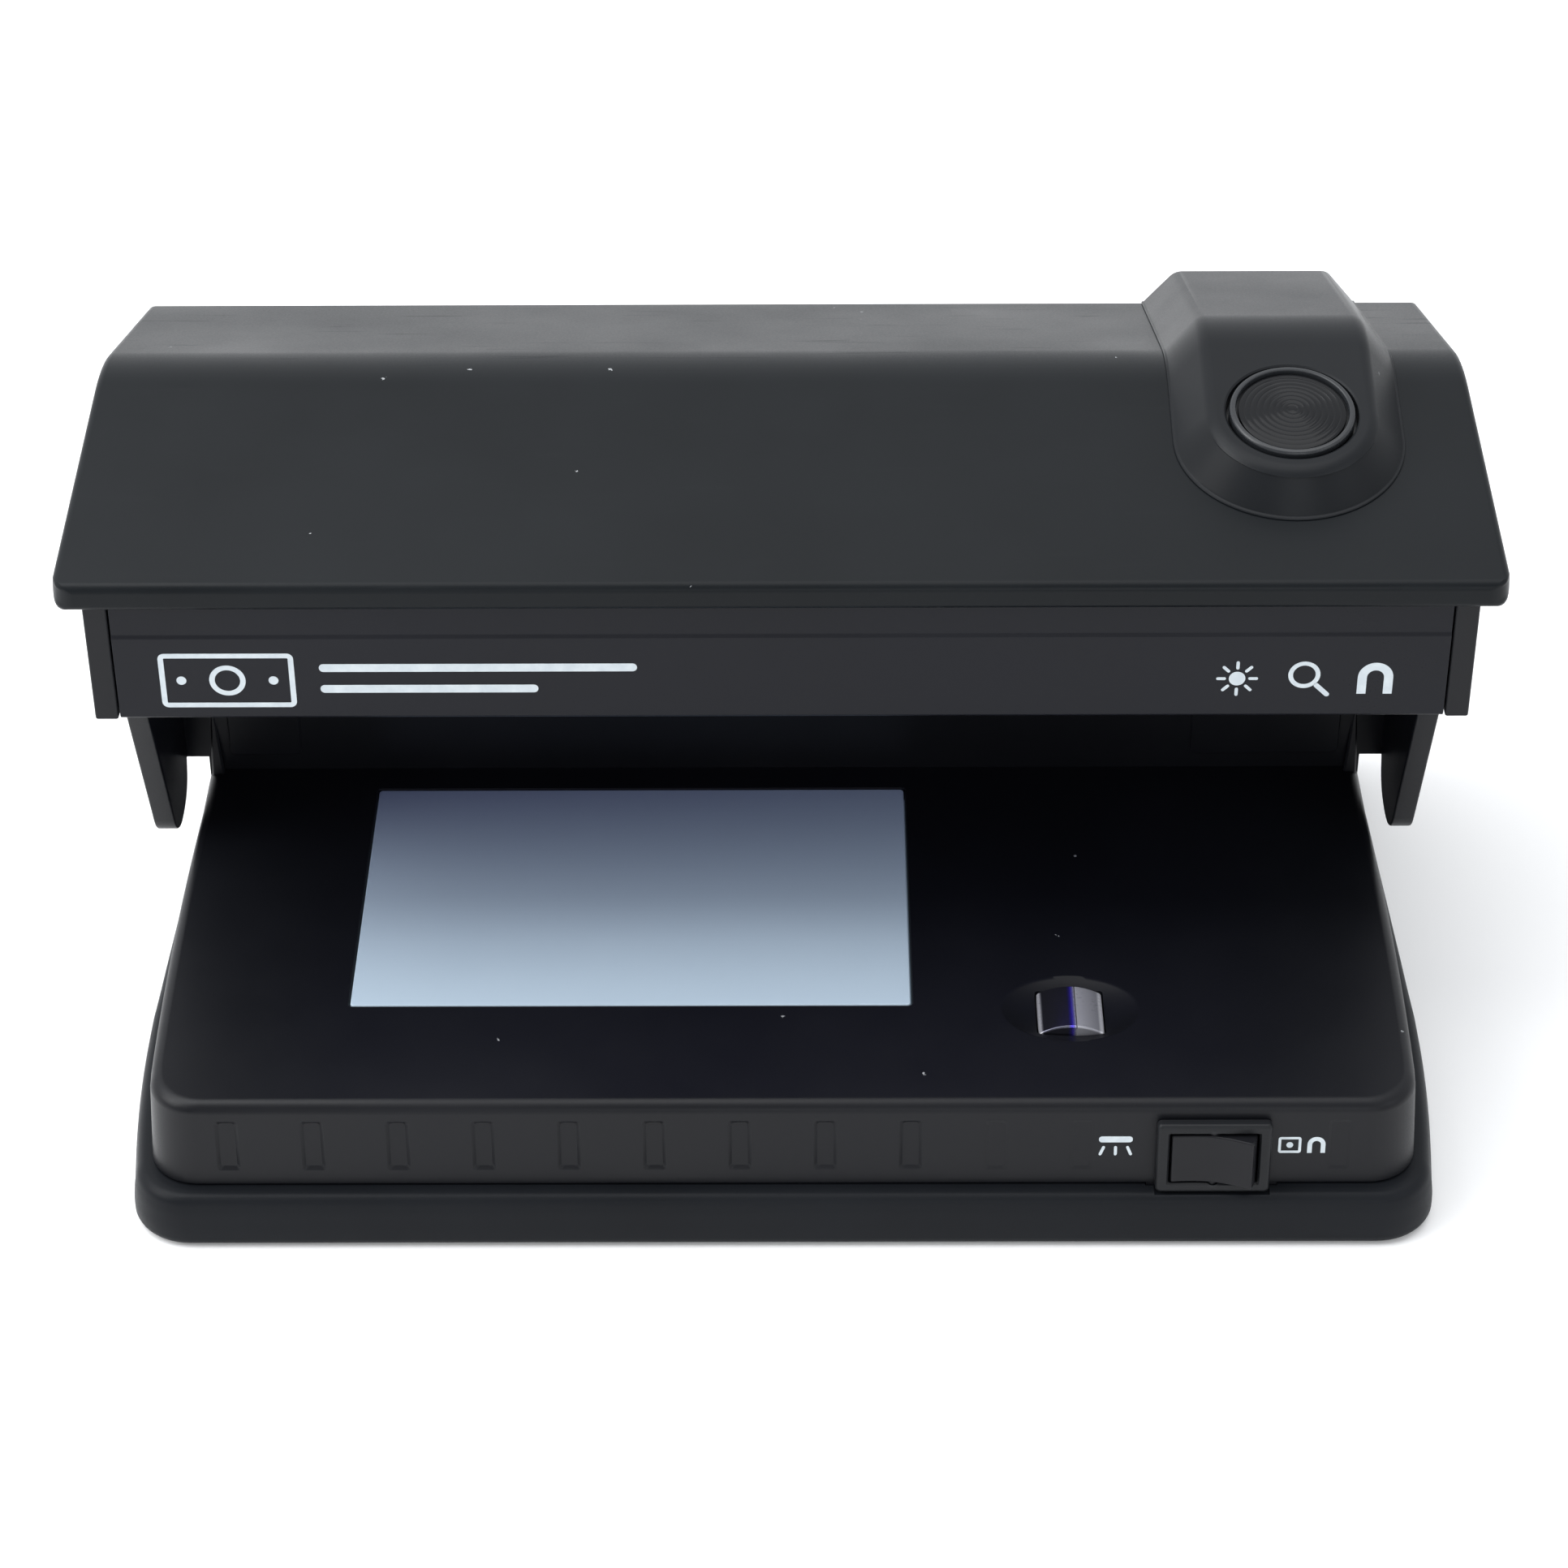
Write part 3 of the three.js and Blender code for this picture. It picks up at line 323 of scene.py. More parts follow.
def lathe(profile, count=64, closed=False):
    """Turned solid about Z from (radius, height) points, from axis to axis or closed."""
    verts = []
    faces = []
    rows = []
    for radius, z in profile:
        start = len(verts)
        verts += [(0, 0, z)] if radius < 1e-6 else layer("z", ring(radius, count), z)
        rows.append(range(start, len(verts)))
    if closed:
        rows.append(rows[0])
    for low, high in zip(rows, rows[1:]):
        for i in range(count):
            j = (i + 1) % count
            if len(low) == 1:
                faces.append((low[0], high[j], high[i]))
            elif len(high) == 1:
                faces.append((low[i], low[j], high[0]))
            else:
                faces.append((low[i], low[j], high[j], high[i]))
    return solid_from(verts, faces)


def bevel(obj, width, segments=3, pick=None):
    """Rounds edges. pick(start, end, angle) gives a share of the width; default: over 30 degrees."""
    with editing(obj) as edit:
        weights = edit.edges.layers.float.new("bevel_weight_edge")
        for edge in edit.edges:
            angle = edge.calc_face_angle(0.0) if len(edge.link_faces) == 2 else 0.0
            start, end = edge.verts
            share = angle > radians(30) if pick is None else pick(start.co, end.co, angle)
            edge[weights] = float(share)
    modifier = obj.modifiers.new("bevel", "BEVEL")
    modifier.limit_method = "WEIGHT"
    modifier.width = width
    modifier.segments = segments
    modifier.profile = 0.5
    modifier.offset_type = "OFFSET"
    modifier.use_clamp_overlap = True
    bake(obj)
    attribute = obj.data.attributes.get("bevel_weight_edge")
    if attribute:
        obj.data.attributes.remove(attribute)
    return tidy(obj)


def fillet(points, radii, steps=6):
    """Closed outline with its corners rounded."""
    outline = []
    for i, point in enumerate(points):
        radius = radii[i] if isinstance(radii, list) else radii
        corner = Vector(point)
        back = Vector(points[i - 1]) - corner
        ahead = Vector(points[(i + 1) % len(points)]) - corner
        shortest = min(0.49 * back.length, 0.49 * ahead.length)
        back.normalize()
        ahead.normalize()
        angle = acos(max(-1.0, min(1.0, back.dot(ahead))))
        if radius <= 1e-6 or angle > pi - 1e-3:
            outline.append((corner.x, corner.y))
            continue
        reach = min(radius / tan(angle / 2), shortest)
        fitted = reach * tan(angle / 2)
        centre = corner + (back + ahead).normalized() * (fitted / sin(angle / 2))
        start = corner + back * reach - centre
        end = corner + ahead * reach - centre
        sweep = atan2(start.x * end.y - start.y * end.x, start.dot(end))
        for k in range(steps + 1):
            turn = sweep * k / steps
            outline.append((centre.x + start.x * cos(turn) - start.y * sin(turn),
                            centre.y + start.x * sin(turn) + start.y * cos(turn)))
    return outline


def rrect(left, right, low, high, radius, steps=6, grow=0.0):
    """Rounded rectangle, grown outwards on all sides."""
    left -= grow
    low -= grow
    right += grow
    high += grow
    return fillet([(left, low), (right, low), (right, high), (left, high)], radius, steps)


def bezier(start, control, end, steps):
    """Quadratic curve, both ends included."""
    return [tuple((1 - t) ** 2 * start[k] + 2 * t * (1 - t) * control[k] + t * t * end[k]
                  for k in (0, 1))
            for t in (i / steps for i in range(steps + 1))]


def smooth_curve(points, steps):
    """Catmull-Rom through the points."""
    curve = []
    for i in range(len(points) - 1):
        before = points[max(i - 1, 0)]
        here = points[i]
        ahead = points[i + 1]
        after = points[min(i + 2, len(points) - 1)]
        for step in range(steps):
            t = step / steps
            curve.append(tuple(
                0.5 * (2 * here[k] + (ahead[k] - before[k]) * t
                       + (2 * before[k] - 5 * here[k] + 4 * ahead[k] - after[k]) * t * t
                       + (3 * here[k] - before[k] - 3 * ahead[k] + after[k]) * t**3)
                for k in (0, 1)))
    return curve + [points[-1]]


def hermite(knots, values, places):
    """Smooth curve through values at the knots, read at the places."""
    slopes = np.gradient(values, knots)
    curve = []
    for place in places:
        i = min(max(int(np.searchsorted(knots, place) - 1), 0), len(knots) - 2)
        gap = knots[i + 1] - knots[i]
        t = (place - knots[i]) / gap
        curve.append((2 * t**3 - 3 * t**2 + 1) * values[i]
                     + (t**3 - 2 * t**2 + t) * gap * slopes[i]
                     + (-2 * t**3 + 3 * t**2) * values[i + 1]
                     + (t**3 - t**2) * gap * slopes[i + 1])
    return curve


def plan(halves, ends, radii, z, side_ys=(), swell=None):
    """Rounded loop seen from above; halves, ends and radii are (front, back) pairs.

    The sides get a point at each of side_ys, pushed out by swell(y).
    """
    front_half, back_half = halves
    front, back = ends
    front_r, back_r = radii

    def corner(x, y, radius, start):
        turns = [start + (i / 14) * pi / 2 for i in range(15)]
        return [(x + radius * cos(turn), y + radius * sin(turn), z) for turn in turns]

    def side(sign, ys):
        slope = back_half - front_half
        return [(sign * (front_half + slope * (y - front) / (back - front) + swell(y)), y, z)
                for y in ys]

    return (corner(front_half - front_r, front + front_r, front_r, -pi / 2)
            + side(1, side_ys)
            + corner(back_half - back_r, back - back_r, back_r, 0)
            + corner(-(back_half - back_r), back - back_r, back_r, pi / 2)
            + side(-1, reversed(side_ys))
            + corner(-(front_half - front_r), front + front_r, front_r, pi))


def keep_largest(obj):
    """Keeps the largest loose part."""
    with editing(obj) as edit:
        seen = set()
        parts = []
        for first in edit.verts:
            if first in seen:
                continue
            seen.add(first)
            part = [first]
            for vert in part:                 # the list grows while it is walked
                for edge in vert.link_edges:
                    other = edge.other_vert(vert)
                    if other not in seen:
                        seen.add(other)
                        part.append(other)
            parts.append(part)
        kept = set(max(parts, key=len))
        loose = [vert for vert in edit.verts if vert not in kept]
        bmesh.ops.delete(edit, geom=loose, context="VERTS")


# --------------------------------------------------------------- materials
class Graph:
    """Lays shader nodes in a tree and links them."""

    def __init__(self, tree):
        self.tree = tree

    def fill(self, socket, value):
        if isinstance(value, bpy.types.NodeSocket):
            self.tree.links.new(value, socket)
        elif socket.type == "RGBA":
            socket.default_value = (*value, 1)
        else:
            socket.default_value = value

    def add(self, kind, inputs=None, output=0, **settings):
        """Adds a node and gives one of its outputs."""
        node = self.tree.nodes.new("ShaderNode" + kind)
        for key, value in settings.items():
            setattr(node, key, value)
        for key, value in (inputs or {}).items():
            self.fill(node.inputs[key], value)
        return node.outputs[output]

    def remap(self, value, over, to=(0.0, 1.0)):
        """Takes the range `over` to the range `to`, clamped."""
        return self.add("MapRange", {"Value": value, "From Min": over[0], "From Max": over[1],
                                     "To Min": to[0], "To Max": to[1]}, clamp=True)

    def calc(self, operation, first, second):
        return self.add("Math", {0: first, 1: second}, operation=operation)

    def times(self, value, by):
        return self.calc("MULTIPLY", value, by)

    def plus(self, value, more):
        return self.calc("ADD", value, more)

    def axis(self, vector, letter):
        return self.add("SeparateXYZ", {0: vector}, letter)


MATERIALS = {}
SURFACE_INPUTS = {
    "base": "Base Color", "rough": "Roughness", "metal": "Metallic", "ior": "IOR",
    "coat": "Coat Weight", "coat_rough": "Coat Roughness", "spec": "Specular IOR Level",
    "normal": "Normal", "emission": "Emission Color", "glow": "Emission Strength",
}


class Shader(Graph):
    """A material; its lengths are in metres."""

    def __init__(self, name):
        self.name = name
        self.material = bpy.data.materials.new(name)
        self.material.use_nodes = True
        super().__init__(self.material.node_tree)
        self.tree.nodes.clear()
        output = self.tree.nodes.new("ShaderNodeOutputMaterial")
        surface = self.add("BsdfPrincipled")
        self.inputs = surface.node.inputs
        self.fill(output.inputs[0], surface)
        self.position = self.add("TexCoord", output="Object")
        self.normal = self.position.node.outputs["Normal"]

    def noise(self, scale, detail=2.0, roughness=0.5, stretch=(1, 1, 1), distortion=0.0,
              offset=(0, 0, 0)):
        vector = self.add("Mapping", {"Vector": self.position, "Location": offset,
                                      "Scale": stretch})
        return self.add("TexNoise", {"Scale": scale, "Detail": detail, "Roughness": roughness,
                                     "Distortion": distortion, "Vector": vector})

    def voronoi(self, scale, randomness=1.0):
        return self.add("TexVoronoi", {"Scale": scale, "Randomness": randomness,
                                       "Vector": self.position}, "Distance")

    def specks(self, scale, size, rarity):
        """1 in round specks, in the cells whose random red is over rarity."""
        distance = self.voronoi(scale)
        red = self.add("SeparateColor", {0: distance.node.outputs["Color"]})
        return self.times(self.calc("LESS_THAN", distance, size),
                          self.calc("GREATER_THAN", red, rarity))

    def mix(self, factor, low, high, over=None):
        """From colour low to colour high as the factor crosses `over`."""
        if over:
            factor = self.remap(factor, over)
        return self.add("Mix", {0: factor, 6: low, 7: high}, 2, data_type="RGBA")

    def bump(self, height, strength, distance):
        return self.add("Bump", {"Strength": strength, "Distance": distance, "Height": height})

    def edges(self, radius, sharp):
        """1 on outer edges, 0 on flats."""
        rounded = self.add("Bevel", {"Radius": radius}, samples=4)
        flat = self.add("NewGeometry", output="Normal")
        match = self.add("VectorMath", {0: rounded, 1: flat}, "Value", operation="DOT_PRODUCT")
        return self.remap(match, over=(1.0 - sharp * 0.1, 1.0 - sharp))

    def finish(self, **values):
        for key, value in values.items():
            self.fill(self.inputs[SURFACE_INPUTS[key]], value)
        MATERIALS[self.name] = self.material


def scaled(colour, by):
    return tuple(channel * by for channel in colour)


def plastic(name, base, rough, grain, grain_scale, wear, dust, spec, mottle=0.06, scratch=0.0):
    """Moulded plastic: fine grain, cloudy gloss, lighter rubbed edges, dust on top faces."""
    shader = Shader(name)
    lighter = tuple(min(1.0, channel * 2.2 + 0.010) for channel in base)
    cloud = shader.noise(scale=24, detail=3, roughness=0.55)
    fine = shader.noise(scale=grain_scale, detail=2, roughness=0.6)
    cells = shader.voronoi(scale=grain_scale * 0.55)
    height = shader.plus(shader.times(fine, by=0.65), shader.times(cells, by=0.35))
    tone = shader.mix(cloud, low=scaled(base, 0.90), high=scaled(base, 1.12), over=(0.3, 0.7))
    if wear > 0:
        patches = shader.noise(scale=310, detail=3, roughness=0.6, offset=(3, 1, 2))
        worn = shader.times(shader.edges(radius=0.0005, sharp=0.22),
                            shader.remap(patches, over=(0.35, 0.75), to=(0.15, 1.0)))
        tone = shader.mix(shader.times(worn, wear), tone, lighter)
    gloss = shader.plus(
        shader.remap(cloud, over=(0.25, 0.75), to=(rough - mottle, rough + mottle)),
        shader.remap(fine, over=(0.3, 0.7), to=(-0.03, 0.03)))
    if scratch > 0:
        streaks = shader.noise(scale=420, detail=2, roughness=0.5, stretch=(0.09, 1.6, 1.0),
                               distortion=0.4, offset=(0.4, 0.2, 0))
        line = shader.remap(streaks, over=(0.66, 0.72))
        gloss = shader.plus(gloss, shader.times(line, by=scratch * 0.25))
        tone = shader.mix(shader.times(line, by=scratch * 0.12), tone, lighter)
    if dust > 0:
        spread = shader.noise(scale=2100, detail=1, roughness=0.5, offset=(5, 5, 5))
        size = shader.times(shader.remap(spread, over=(0.45, 0.8)), by=0.10)
        speck = shader.specks(scale=190, size=shader.plus(size, more=0.035), rarity=0.93)
        upward = shader.remap(shader.axis(shader.normal, "Z"), over=(0.4, 0.8))
        speck = shader.times(shader.times(speck, upward), dust)
        tone = shader.mix(speck, tone, high=(0.32, 0.33, 0.34))
        gloss = shader.plus(gloss, shader.times(speck, by=0.3))
    shader.finish(base=tone, rough=gloss, spec=spec, coat_rough=0.25,
                  normal=shader.bump(height, strength=grain, distance=0.00006))


def pole_pieces(shader, tone, gloss, split):
    """Two pole pieces with a gap between: a painted dark reflection on the left, satin nickel right,
    and a painted violet reflection of the UV lamp along the gap.
    """
    across = shader.axis(shader.position, "X")

    def band(start, end, to=(0.0, 1.0)):
        return shader.remap(across, over=(split + start, split + end), to=to)

    # painted dark reflection: the left pole is darkened, and is also made glossier and more metallic
    dark_pole_reflection = shader.times(band(-0.0001, 0.0010, to=(1.0, 0.0)), band(-0.0057, -0.0052))
    right = band(0.0051, 0.0055, to=(1.0, 0.0))
    nickel = shader.times(right, band(0, 0.005, to=(0.35, 0.80)))
    tone = shader.mix(nickel, tone, high=(0.17, 0.17, 0.20))
    tone = shader.mix(dark_pole_reflection, tone, high=(0.10, 0.10, 0.13))
    # painted reflection: a violet stripe along the gap stands for the UV lamp reflected in the head
    gap = shader.times(band(-0.0006, 0.0001), band(0.0001, 0.0008, to=(1.0, 0.0)))
    tone = shader.mix(gap, tone, high=(0.10, 0.07, 0.72))
    shine = shader.remap(dark_pole_reflection, over=(0.0, 1.0), to=(0.35, 0.9))
    gloss = shader.plus(gloss, shader.remap(dark_pole_reflection, over=(0.0, 1.0), to=(0.14, 0.0)))
    return tone, gloss, shine


def metal(name, base, rough, brush=(1, 1, 1), grime=0.15, split=None):
    """Cloudy metal, its fine grain stretched by brush. split: x of the gap between poles."""
    shader = Shader(name)
    cloud = shader.noise(scale=90, detail=3, roughness=0.6)
    fine = shader.noise(scale=900, detail=2, roughness=0.6, stretch=brush)
    tone = shader.mix(cloud, base, scaled(base, 1 - grime), over=(0.35, 0.7))
    gloss = shader.plus(
        shader.remap(cloud, over=(0.2, 0.8), to=(rough * 0.8, rough * 1.25)),
        shader.remap(fine, over=(0.3, 0.7), to=(-0.04, 0.04)))
    shine = 1.0
    if split is not None:
        tone, gloss, shine = pole_pieces(shader, tone, gloss, split)
    shader.finish(base=tone, rough=gloss, metal=shine,
                  normal=shader.bump(fine, strength=0.12, distance=0.00003))


def foot_rubber():
    shader = Shader("foot_rubber")
    fine = shader.noise(scale=1500, detail=3, roughness=0.65)
    tone = shader.mix(shader.noise(scale=160, detail=3), low=(0.012, 0.012, 0.012),
                      high=(0.0244, 0.0244, 0.0244), over=(0.3, 0.7))
    shader.finish(base=tone, rough=shader.remap(fine, over=(0.2, 0.8), to=(0.75, 0.95)),
                  spec=0.35, normal=shader.bump(fine, strength=0.35, distance=0.0001))


def coil_winding():
    """Enamelled wire in bands along Z."""
    shader = Shader("coil_winding")
    wave = shader.add("TexWave", {"Scale": 260, "Distortion": 0.6, "Detail": 1,
                                  "Vector": shader.position},
                      "Fac", wave_type="BANDS", bands_direction="Z")
    tone = shader.mix(wave, low=(0.16, 0.055, 0.02), high=(0.46, 0.19, 0.07))
    gloss = shader.remap(shader.noise(scale=300), over=(0.3, 0.7), to=(0.25, 0.42))
    shader.finish(base=tone, rough=gloss, metal=0.6, coat=0.6, coat_rough=0.15,
                  normal=shader.bump(wave, strength=0.8, distance=0.0002))


def pcb_board():
    shader = Shader("pcb_board")
    pad = shader.calc("LESS_THAN", shader.voronoi(scale=420, randomness=0.0), 0.16)
    streaks = shader.noise(scale=150, detail=0, roughness=0.5, stretch=(1, 7, 1))
    track = shader.remap(streaks, over=(0.55, 0.56))
    tone = shader.mix(track, low=(0.010, 0.085, 0.035), high=(0.018, 0.135, 0.055))
    tone = shader.mix(pad, tone, high=(0.46, 0.44, 0.36))
    gloss = shader.remap(shader.noise(scale=90), over=(0.3, 0.7), to=(0.25, 0.4))
    shader.finish(base=tone, rough=gloss, metal=shader.times(pad, by=0.8),
                  normal=shader.bump(track, strength=0.4, distance=0.00004))


def can_sleeve():
    """Capacitor: blue sleeve with a bare metal top."""
    top_z = 0.0204
    shader = Shader("can_sleeve")
    top = shader.calc("GREATER_THAN", shader.axis(shader.position, "Z"), top_z)
    sleeve = shader.mix(shader.noise(scale=120), low=(0.012, 0.020, 0.060),
                        high=(0.016, 0.028, 0.080), over=(0.3, 0.7))
    tone = shader.mix(top, sleeve, high=(0.62, 0.63, 0.64))
    shader.finish(base=tone, rough=0.3, metal=shader.times(top, by=0.9), coat=0.3,
                  normal=shader.bump(shader.noise(scale=900), strength=0.1, distance=0.00004))


def wire_jacket(name, low, high):
    shader = Shader(name)
    tone = shader.mix(shader.noise(scale=240, detail=3), low, high, over=(0.35, 0.65))
    gloss = shader.remap(shader.noise(scale=120), over=(0.3, 0.7), to=(0.42, 0.58))
    shader.finish(base=tone, rough=gloss, spec=0.5,
                  normal=shader.bump(shader.noise(scale=1600), strength=0.15, distance=0.00005))


def diffuser_acrylic():
    """Milk-white acrylic, with painted shade that darkens it to violet-blue towards the back under
    the hood, and a painted glow that falls off to the back.
    """
    shader = Shader("diffuser_acrylic")
    cloud = shader.noise(scale=60, detail=3, roughness=0.5)
    tone = shader.mix(cloud, low=(0.425, 0.520, 0.605), high=(0.431, 0.526, 0.611),
                      over=(0.3, 0.7))
    # painted shade: the tone darkens to violet-blue towards the back, where the hood shades the
    # window
    skew = shader.times(shader.axis(shader.position, "X"), by=-0.12)
    depth = shader.plus(shader.axis(shader.position, "Y"), skew)
    painted_shade_falloff = 1.6
    back = shader.calc("POWER", shader.remap(depth, over=(-0.038, 0.036)), painted_shade_falloff)
    tone = shader.mix(back, tone, high=(0.165, 0.195, 0.315))
    dark_spots = shader.specks(scale=150, size=0.05, rarity=0.975)
    tone = shader.mix(shader.times(dark_spots, by=0.6), tone, high=(0.2, 0.24, 0.28))
    # painted glow: a pale blue emission at the front, fading towards the back along with the painted
    # shade
    light = shader.mix(back, low=(0.42, 0.56, 0.68), high=(0.08, 0.10, 0.18))
    fine = shader.noise(scale=1800, detail=2, roughness=0.5)
    shader.finish(base=tone, rough=shader.remap(cloud, over=(0.2, 0.8), to=(0.30, 0.33)),
                  spec=0.45, emission=light, glow=0.09,
                  normal=shader.bump(fine, strength=0.015, distance=0.00002))


def lens_acrylic():
    """Dark acrylic dome; the rim round it is the same moulding, left satin, with a lighter base as a
    painted highlight for its bright ring.
    """
    shader = Shader("lens_acrylic")
    foot = (POD_X / 1000, (LENS_FOOT_Y + SHIFT_Y) / 1000, cover_z(LENS_FOOT_Y) / 1000)
    axis = (0, -sin(COVER_TILT), cos(COVER_TILT))
    from_foot = shader.add("VectorMath", {0: shader.position, 1: foot}, operation="SUBTRACT")
    cross = shader.add("VectorMath", {0: from_foot, 1: axis}, operation="CROSS_PRODUCT")
    radius = shader.add("VectorMath", {0: cross}, "Value", operation="LENGTH")
    # painted highlight: the rim's lighter base stands for its bright ring; its extra roughness and
    # specular level are the satin finish
    rim = shader.remap(radius, over=(0.01005, 0.01025))
    gloss = shader.remap(shader.noise(scale=130, detail=3), over=(0.3, 0.7), to=(0.10, 0.15))
    dome = shader.mix(shader.noise(scale=60), low=(0.0070, 0.0075, 0.0085),
                      high=(0.0090, 0.0096, 0.0110), over=(0.3, 0.7))
    ripple = shader.noise(scale=900, detail=2)
    shader.finish(base=shader.mix(rim, dome, high=(0.022, 0.024, 0.027)),
                  rough=shader.plus(gloss, shader.times(rim, by=0.12)), ior=1.49,
                  spec=shader.calc("ADD", 0.17, shader.times(rim, by=0.25)),
                  normal=shader.bump(ripple, strength=0.02, distance=0.00002))


def lamp_glass(name, cloud_scale, low, high, gloss_scale, gloss, **surface):
    shader = Shader(name)
    tone = shader.mix(shader.noise(scale=cloud_scale, detail=3), low, high, over=(0.3, 0.7))
    rough = shader.remap(shader.noise(scale=gloss_scale), over=(0.3, 0.7), to=gloss)
    normal = shader.bump(shader.noise(scale=700), strength=0.03, distance=0.00003)
    shader.finish(base=tone, rough=rough, normal=normal, **surface)


def legend_print():
    shader = Shader("legend_print")
    tone = shader.mix(shader.noise(scale=500, detail=3), low=(0.56, 0.62, 0.66),
                      high=(0.64, 0.70, 0.73), over=(0.35, 0.7))
    gloss = shader.remap(shader.noise(scale=900), over=(0.3, 0.7), to=(0.40, 0.55))
    shader.finish(base=tone, rough=gloss,
                  normal=shader.bump(shader.noise(scale=3000), strength=0.10, distance=0.00002))


# name, base colour, roughness, grain strength, grain scale, edge wear, dust, specular,
# and where given: gloss mottle, scratches
PLASTICS = [
    ("shell_plastic", (0.0046, 0.0050, 0.0070), 0.40, 0.10, 2400, 0.45, 0.9, 0.24),
    ("cover_plastic", (0.0062, 0.0077, 0.0093), 0.36, 0.10, 2600, 0.5, 1.0, 0.145, 0.05, 0.3),
    ("tray_plastic", (0.0080, 0.0092, 0.0115), 0.44, 0.14, 2200, 0.4, 0.9, 0.12),
    ("fascia_plastic", (0.0074, 0.0080, 0.0115), 0.34, 0.08, 2600, 0.4, 0.2, 0.18),
    ("pod_plastic", (0.0094, 0.0106, 0.0124), 0.36, 0.08, 2800, 0.5, 0.6, 0.15),
    ("switch_plastic", (0.0110, 0.0118, 0.0135), 0.38, 0.10, 3000, 0.5, 0.1, 0.20),
    ("rocker_plastic", (0.0090, 0.0092, 0.0112), 0.33, 0.08, 3200, 0.5, 0.2, 0.20),
    ("black_plastic", (0.010, 0.010, 0.011), 0.42, 0.12, 2600, 0.4, 0.1, 0.45),
    ("white_plastic", (0.74, 0.74, 0.70), 0.42, 0.10, 2400, 0.0, 0.0, 0.5, 0.05),
]
for entry in PLASTICS:
    plastic(*entry)
foot_rubber()
metal("screw_steel", base=(0.50, 0.50, 0.50), rough=0.30, grime=0.2)
metal("head_metal", base=(0.58, 0.58, 0.62), rough=0.16, brush=(1, 6, 1), grime=0.08,
      split=HEAD_X / 1000)
metal("brass_metal", base=(0.62, 0.42, 0.16), rough=0.32)
metal("lamp_alu", base=(0.72, 0.73, 0.74), rough=0.26, brush=(6, 1, 1), grime=0.1)
metal("core_steel", base=(0.23, 0.22, 0.20), rough=0.5, brush=(1, 1, 14), grime=0.35)
coil_winding()
pcb_board()
can_sleeve()
wire_jacket("wire_jacket", low=(0.22, 0.010, 0.008), high=(0.30, 0.018, 0.014))
wire_jacket("wire_grey", low=(0.09, 0.10, 0.11), high=(0.14, 0.15, 0.16))
diffuser_acrylic()
lens_acrylic()
lamp_glass("uv_glass", cloud_scale=40, low=(0.030, 0.018, 0.075), high=(0.045, 0.026, 0.11),
           gloss_scale=80, gloss=(0.06, 0.12), spec=0.6, coat=0.5,
           emission=(0.10, 0.055, 0.95), glow=0.16)
lamp_glass("white_glass", cloud_scale=60, low=(0.80, 0.82, 0.84), high=(0.70, 0.72, 0.75),
           gloss_scale=90, gloss=(0.10, 0.18), emission=(0.85, 0.92, 1.0), glow=0.2)
legend_print()


# ----------------------------------------------------------- piece finishing
def piece(obj, name, node, slot, body="chassis", material=None, sharp=32.0, weighted=True):
    """Scales, names and shades a piece that replaces a CAD node, attaches it to its body and hides
    that node if one is given.
    """
    moved(obj, TO_METRES)
    obj.name = name
    mesh = obj.data
    mesh.name = name
    mesh.materials.clear()
    mesh.materials.append(MATERIALS[material or slot])
    mesh.polygons.foreach_set("material_index", [0] * len(mesh.polygons))
    mesh.polygons.foreach_set("use_smooth", [True] * len(mesh.polygons))
    mesh.set_sharp_from_angle(angle=radians(sharp))
    mesh.update()
    if weighted:
        normals = obj.modifiers.new("normals", "WEIGHTED_NORMAL")
        normals.keep_sharp = True
        normals.weight = 80
    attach(obj, body)
    if node:
        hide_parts(node)


# ================================================================ base tray
# height, inset of the side there
TRAY_SECTION = [(0.5, 1.2), (0.8, 0.5), (1.7, 0.05), (3.2, 0.0), (6.0, 0.25),
                (8.6, 0.7), (10.2, 1.3), (10.9, 2.1), (11.2, 3.8)]


def tray_swell(y):
    """The sides bow out most near the front and fade to the back."""
    if y < -22:
        return TRAY_CROWN * (1 - (max(0.0, -28 - y) / 38) ** 2)
    along = min(1.0, (y + 22) / 74)
    ease = max(0.0, 1 - along / 0.2)
    return TRAY_CROWN * (1 - along + 0.06 * ease ** 2 - 0.06 * ease)


def tray_loop(z, inset):
    radius = TRAY_R - inset * 0.8
    return plan((TRAY_HALF - inset,) * 2, (TRAY_FRONT + inset, TRAY_BACK - inset),
                (radius, radius), z, range(-62, 63, 4), tray_swell)


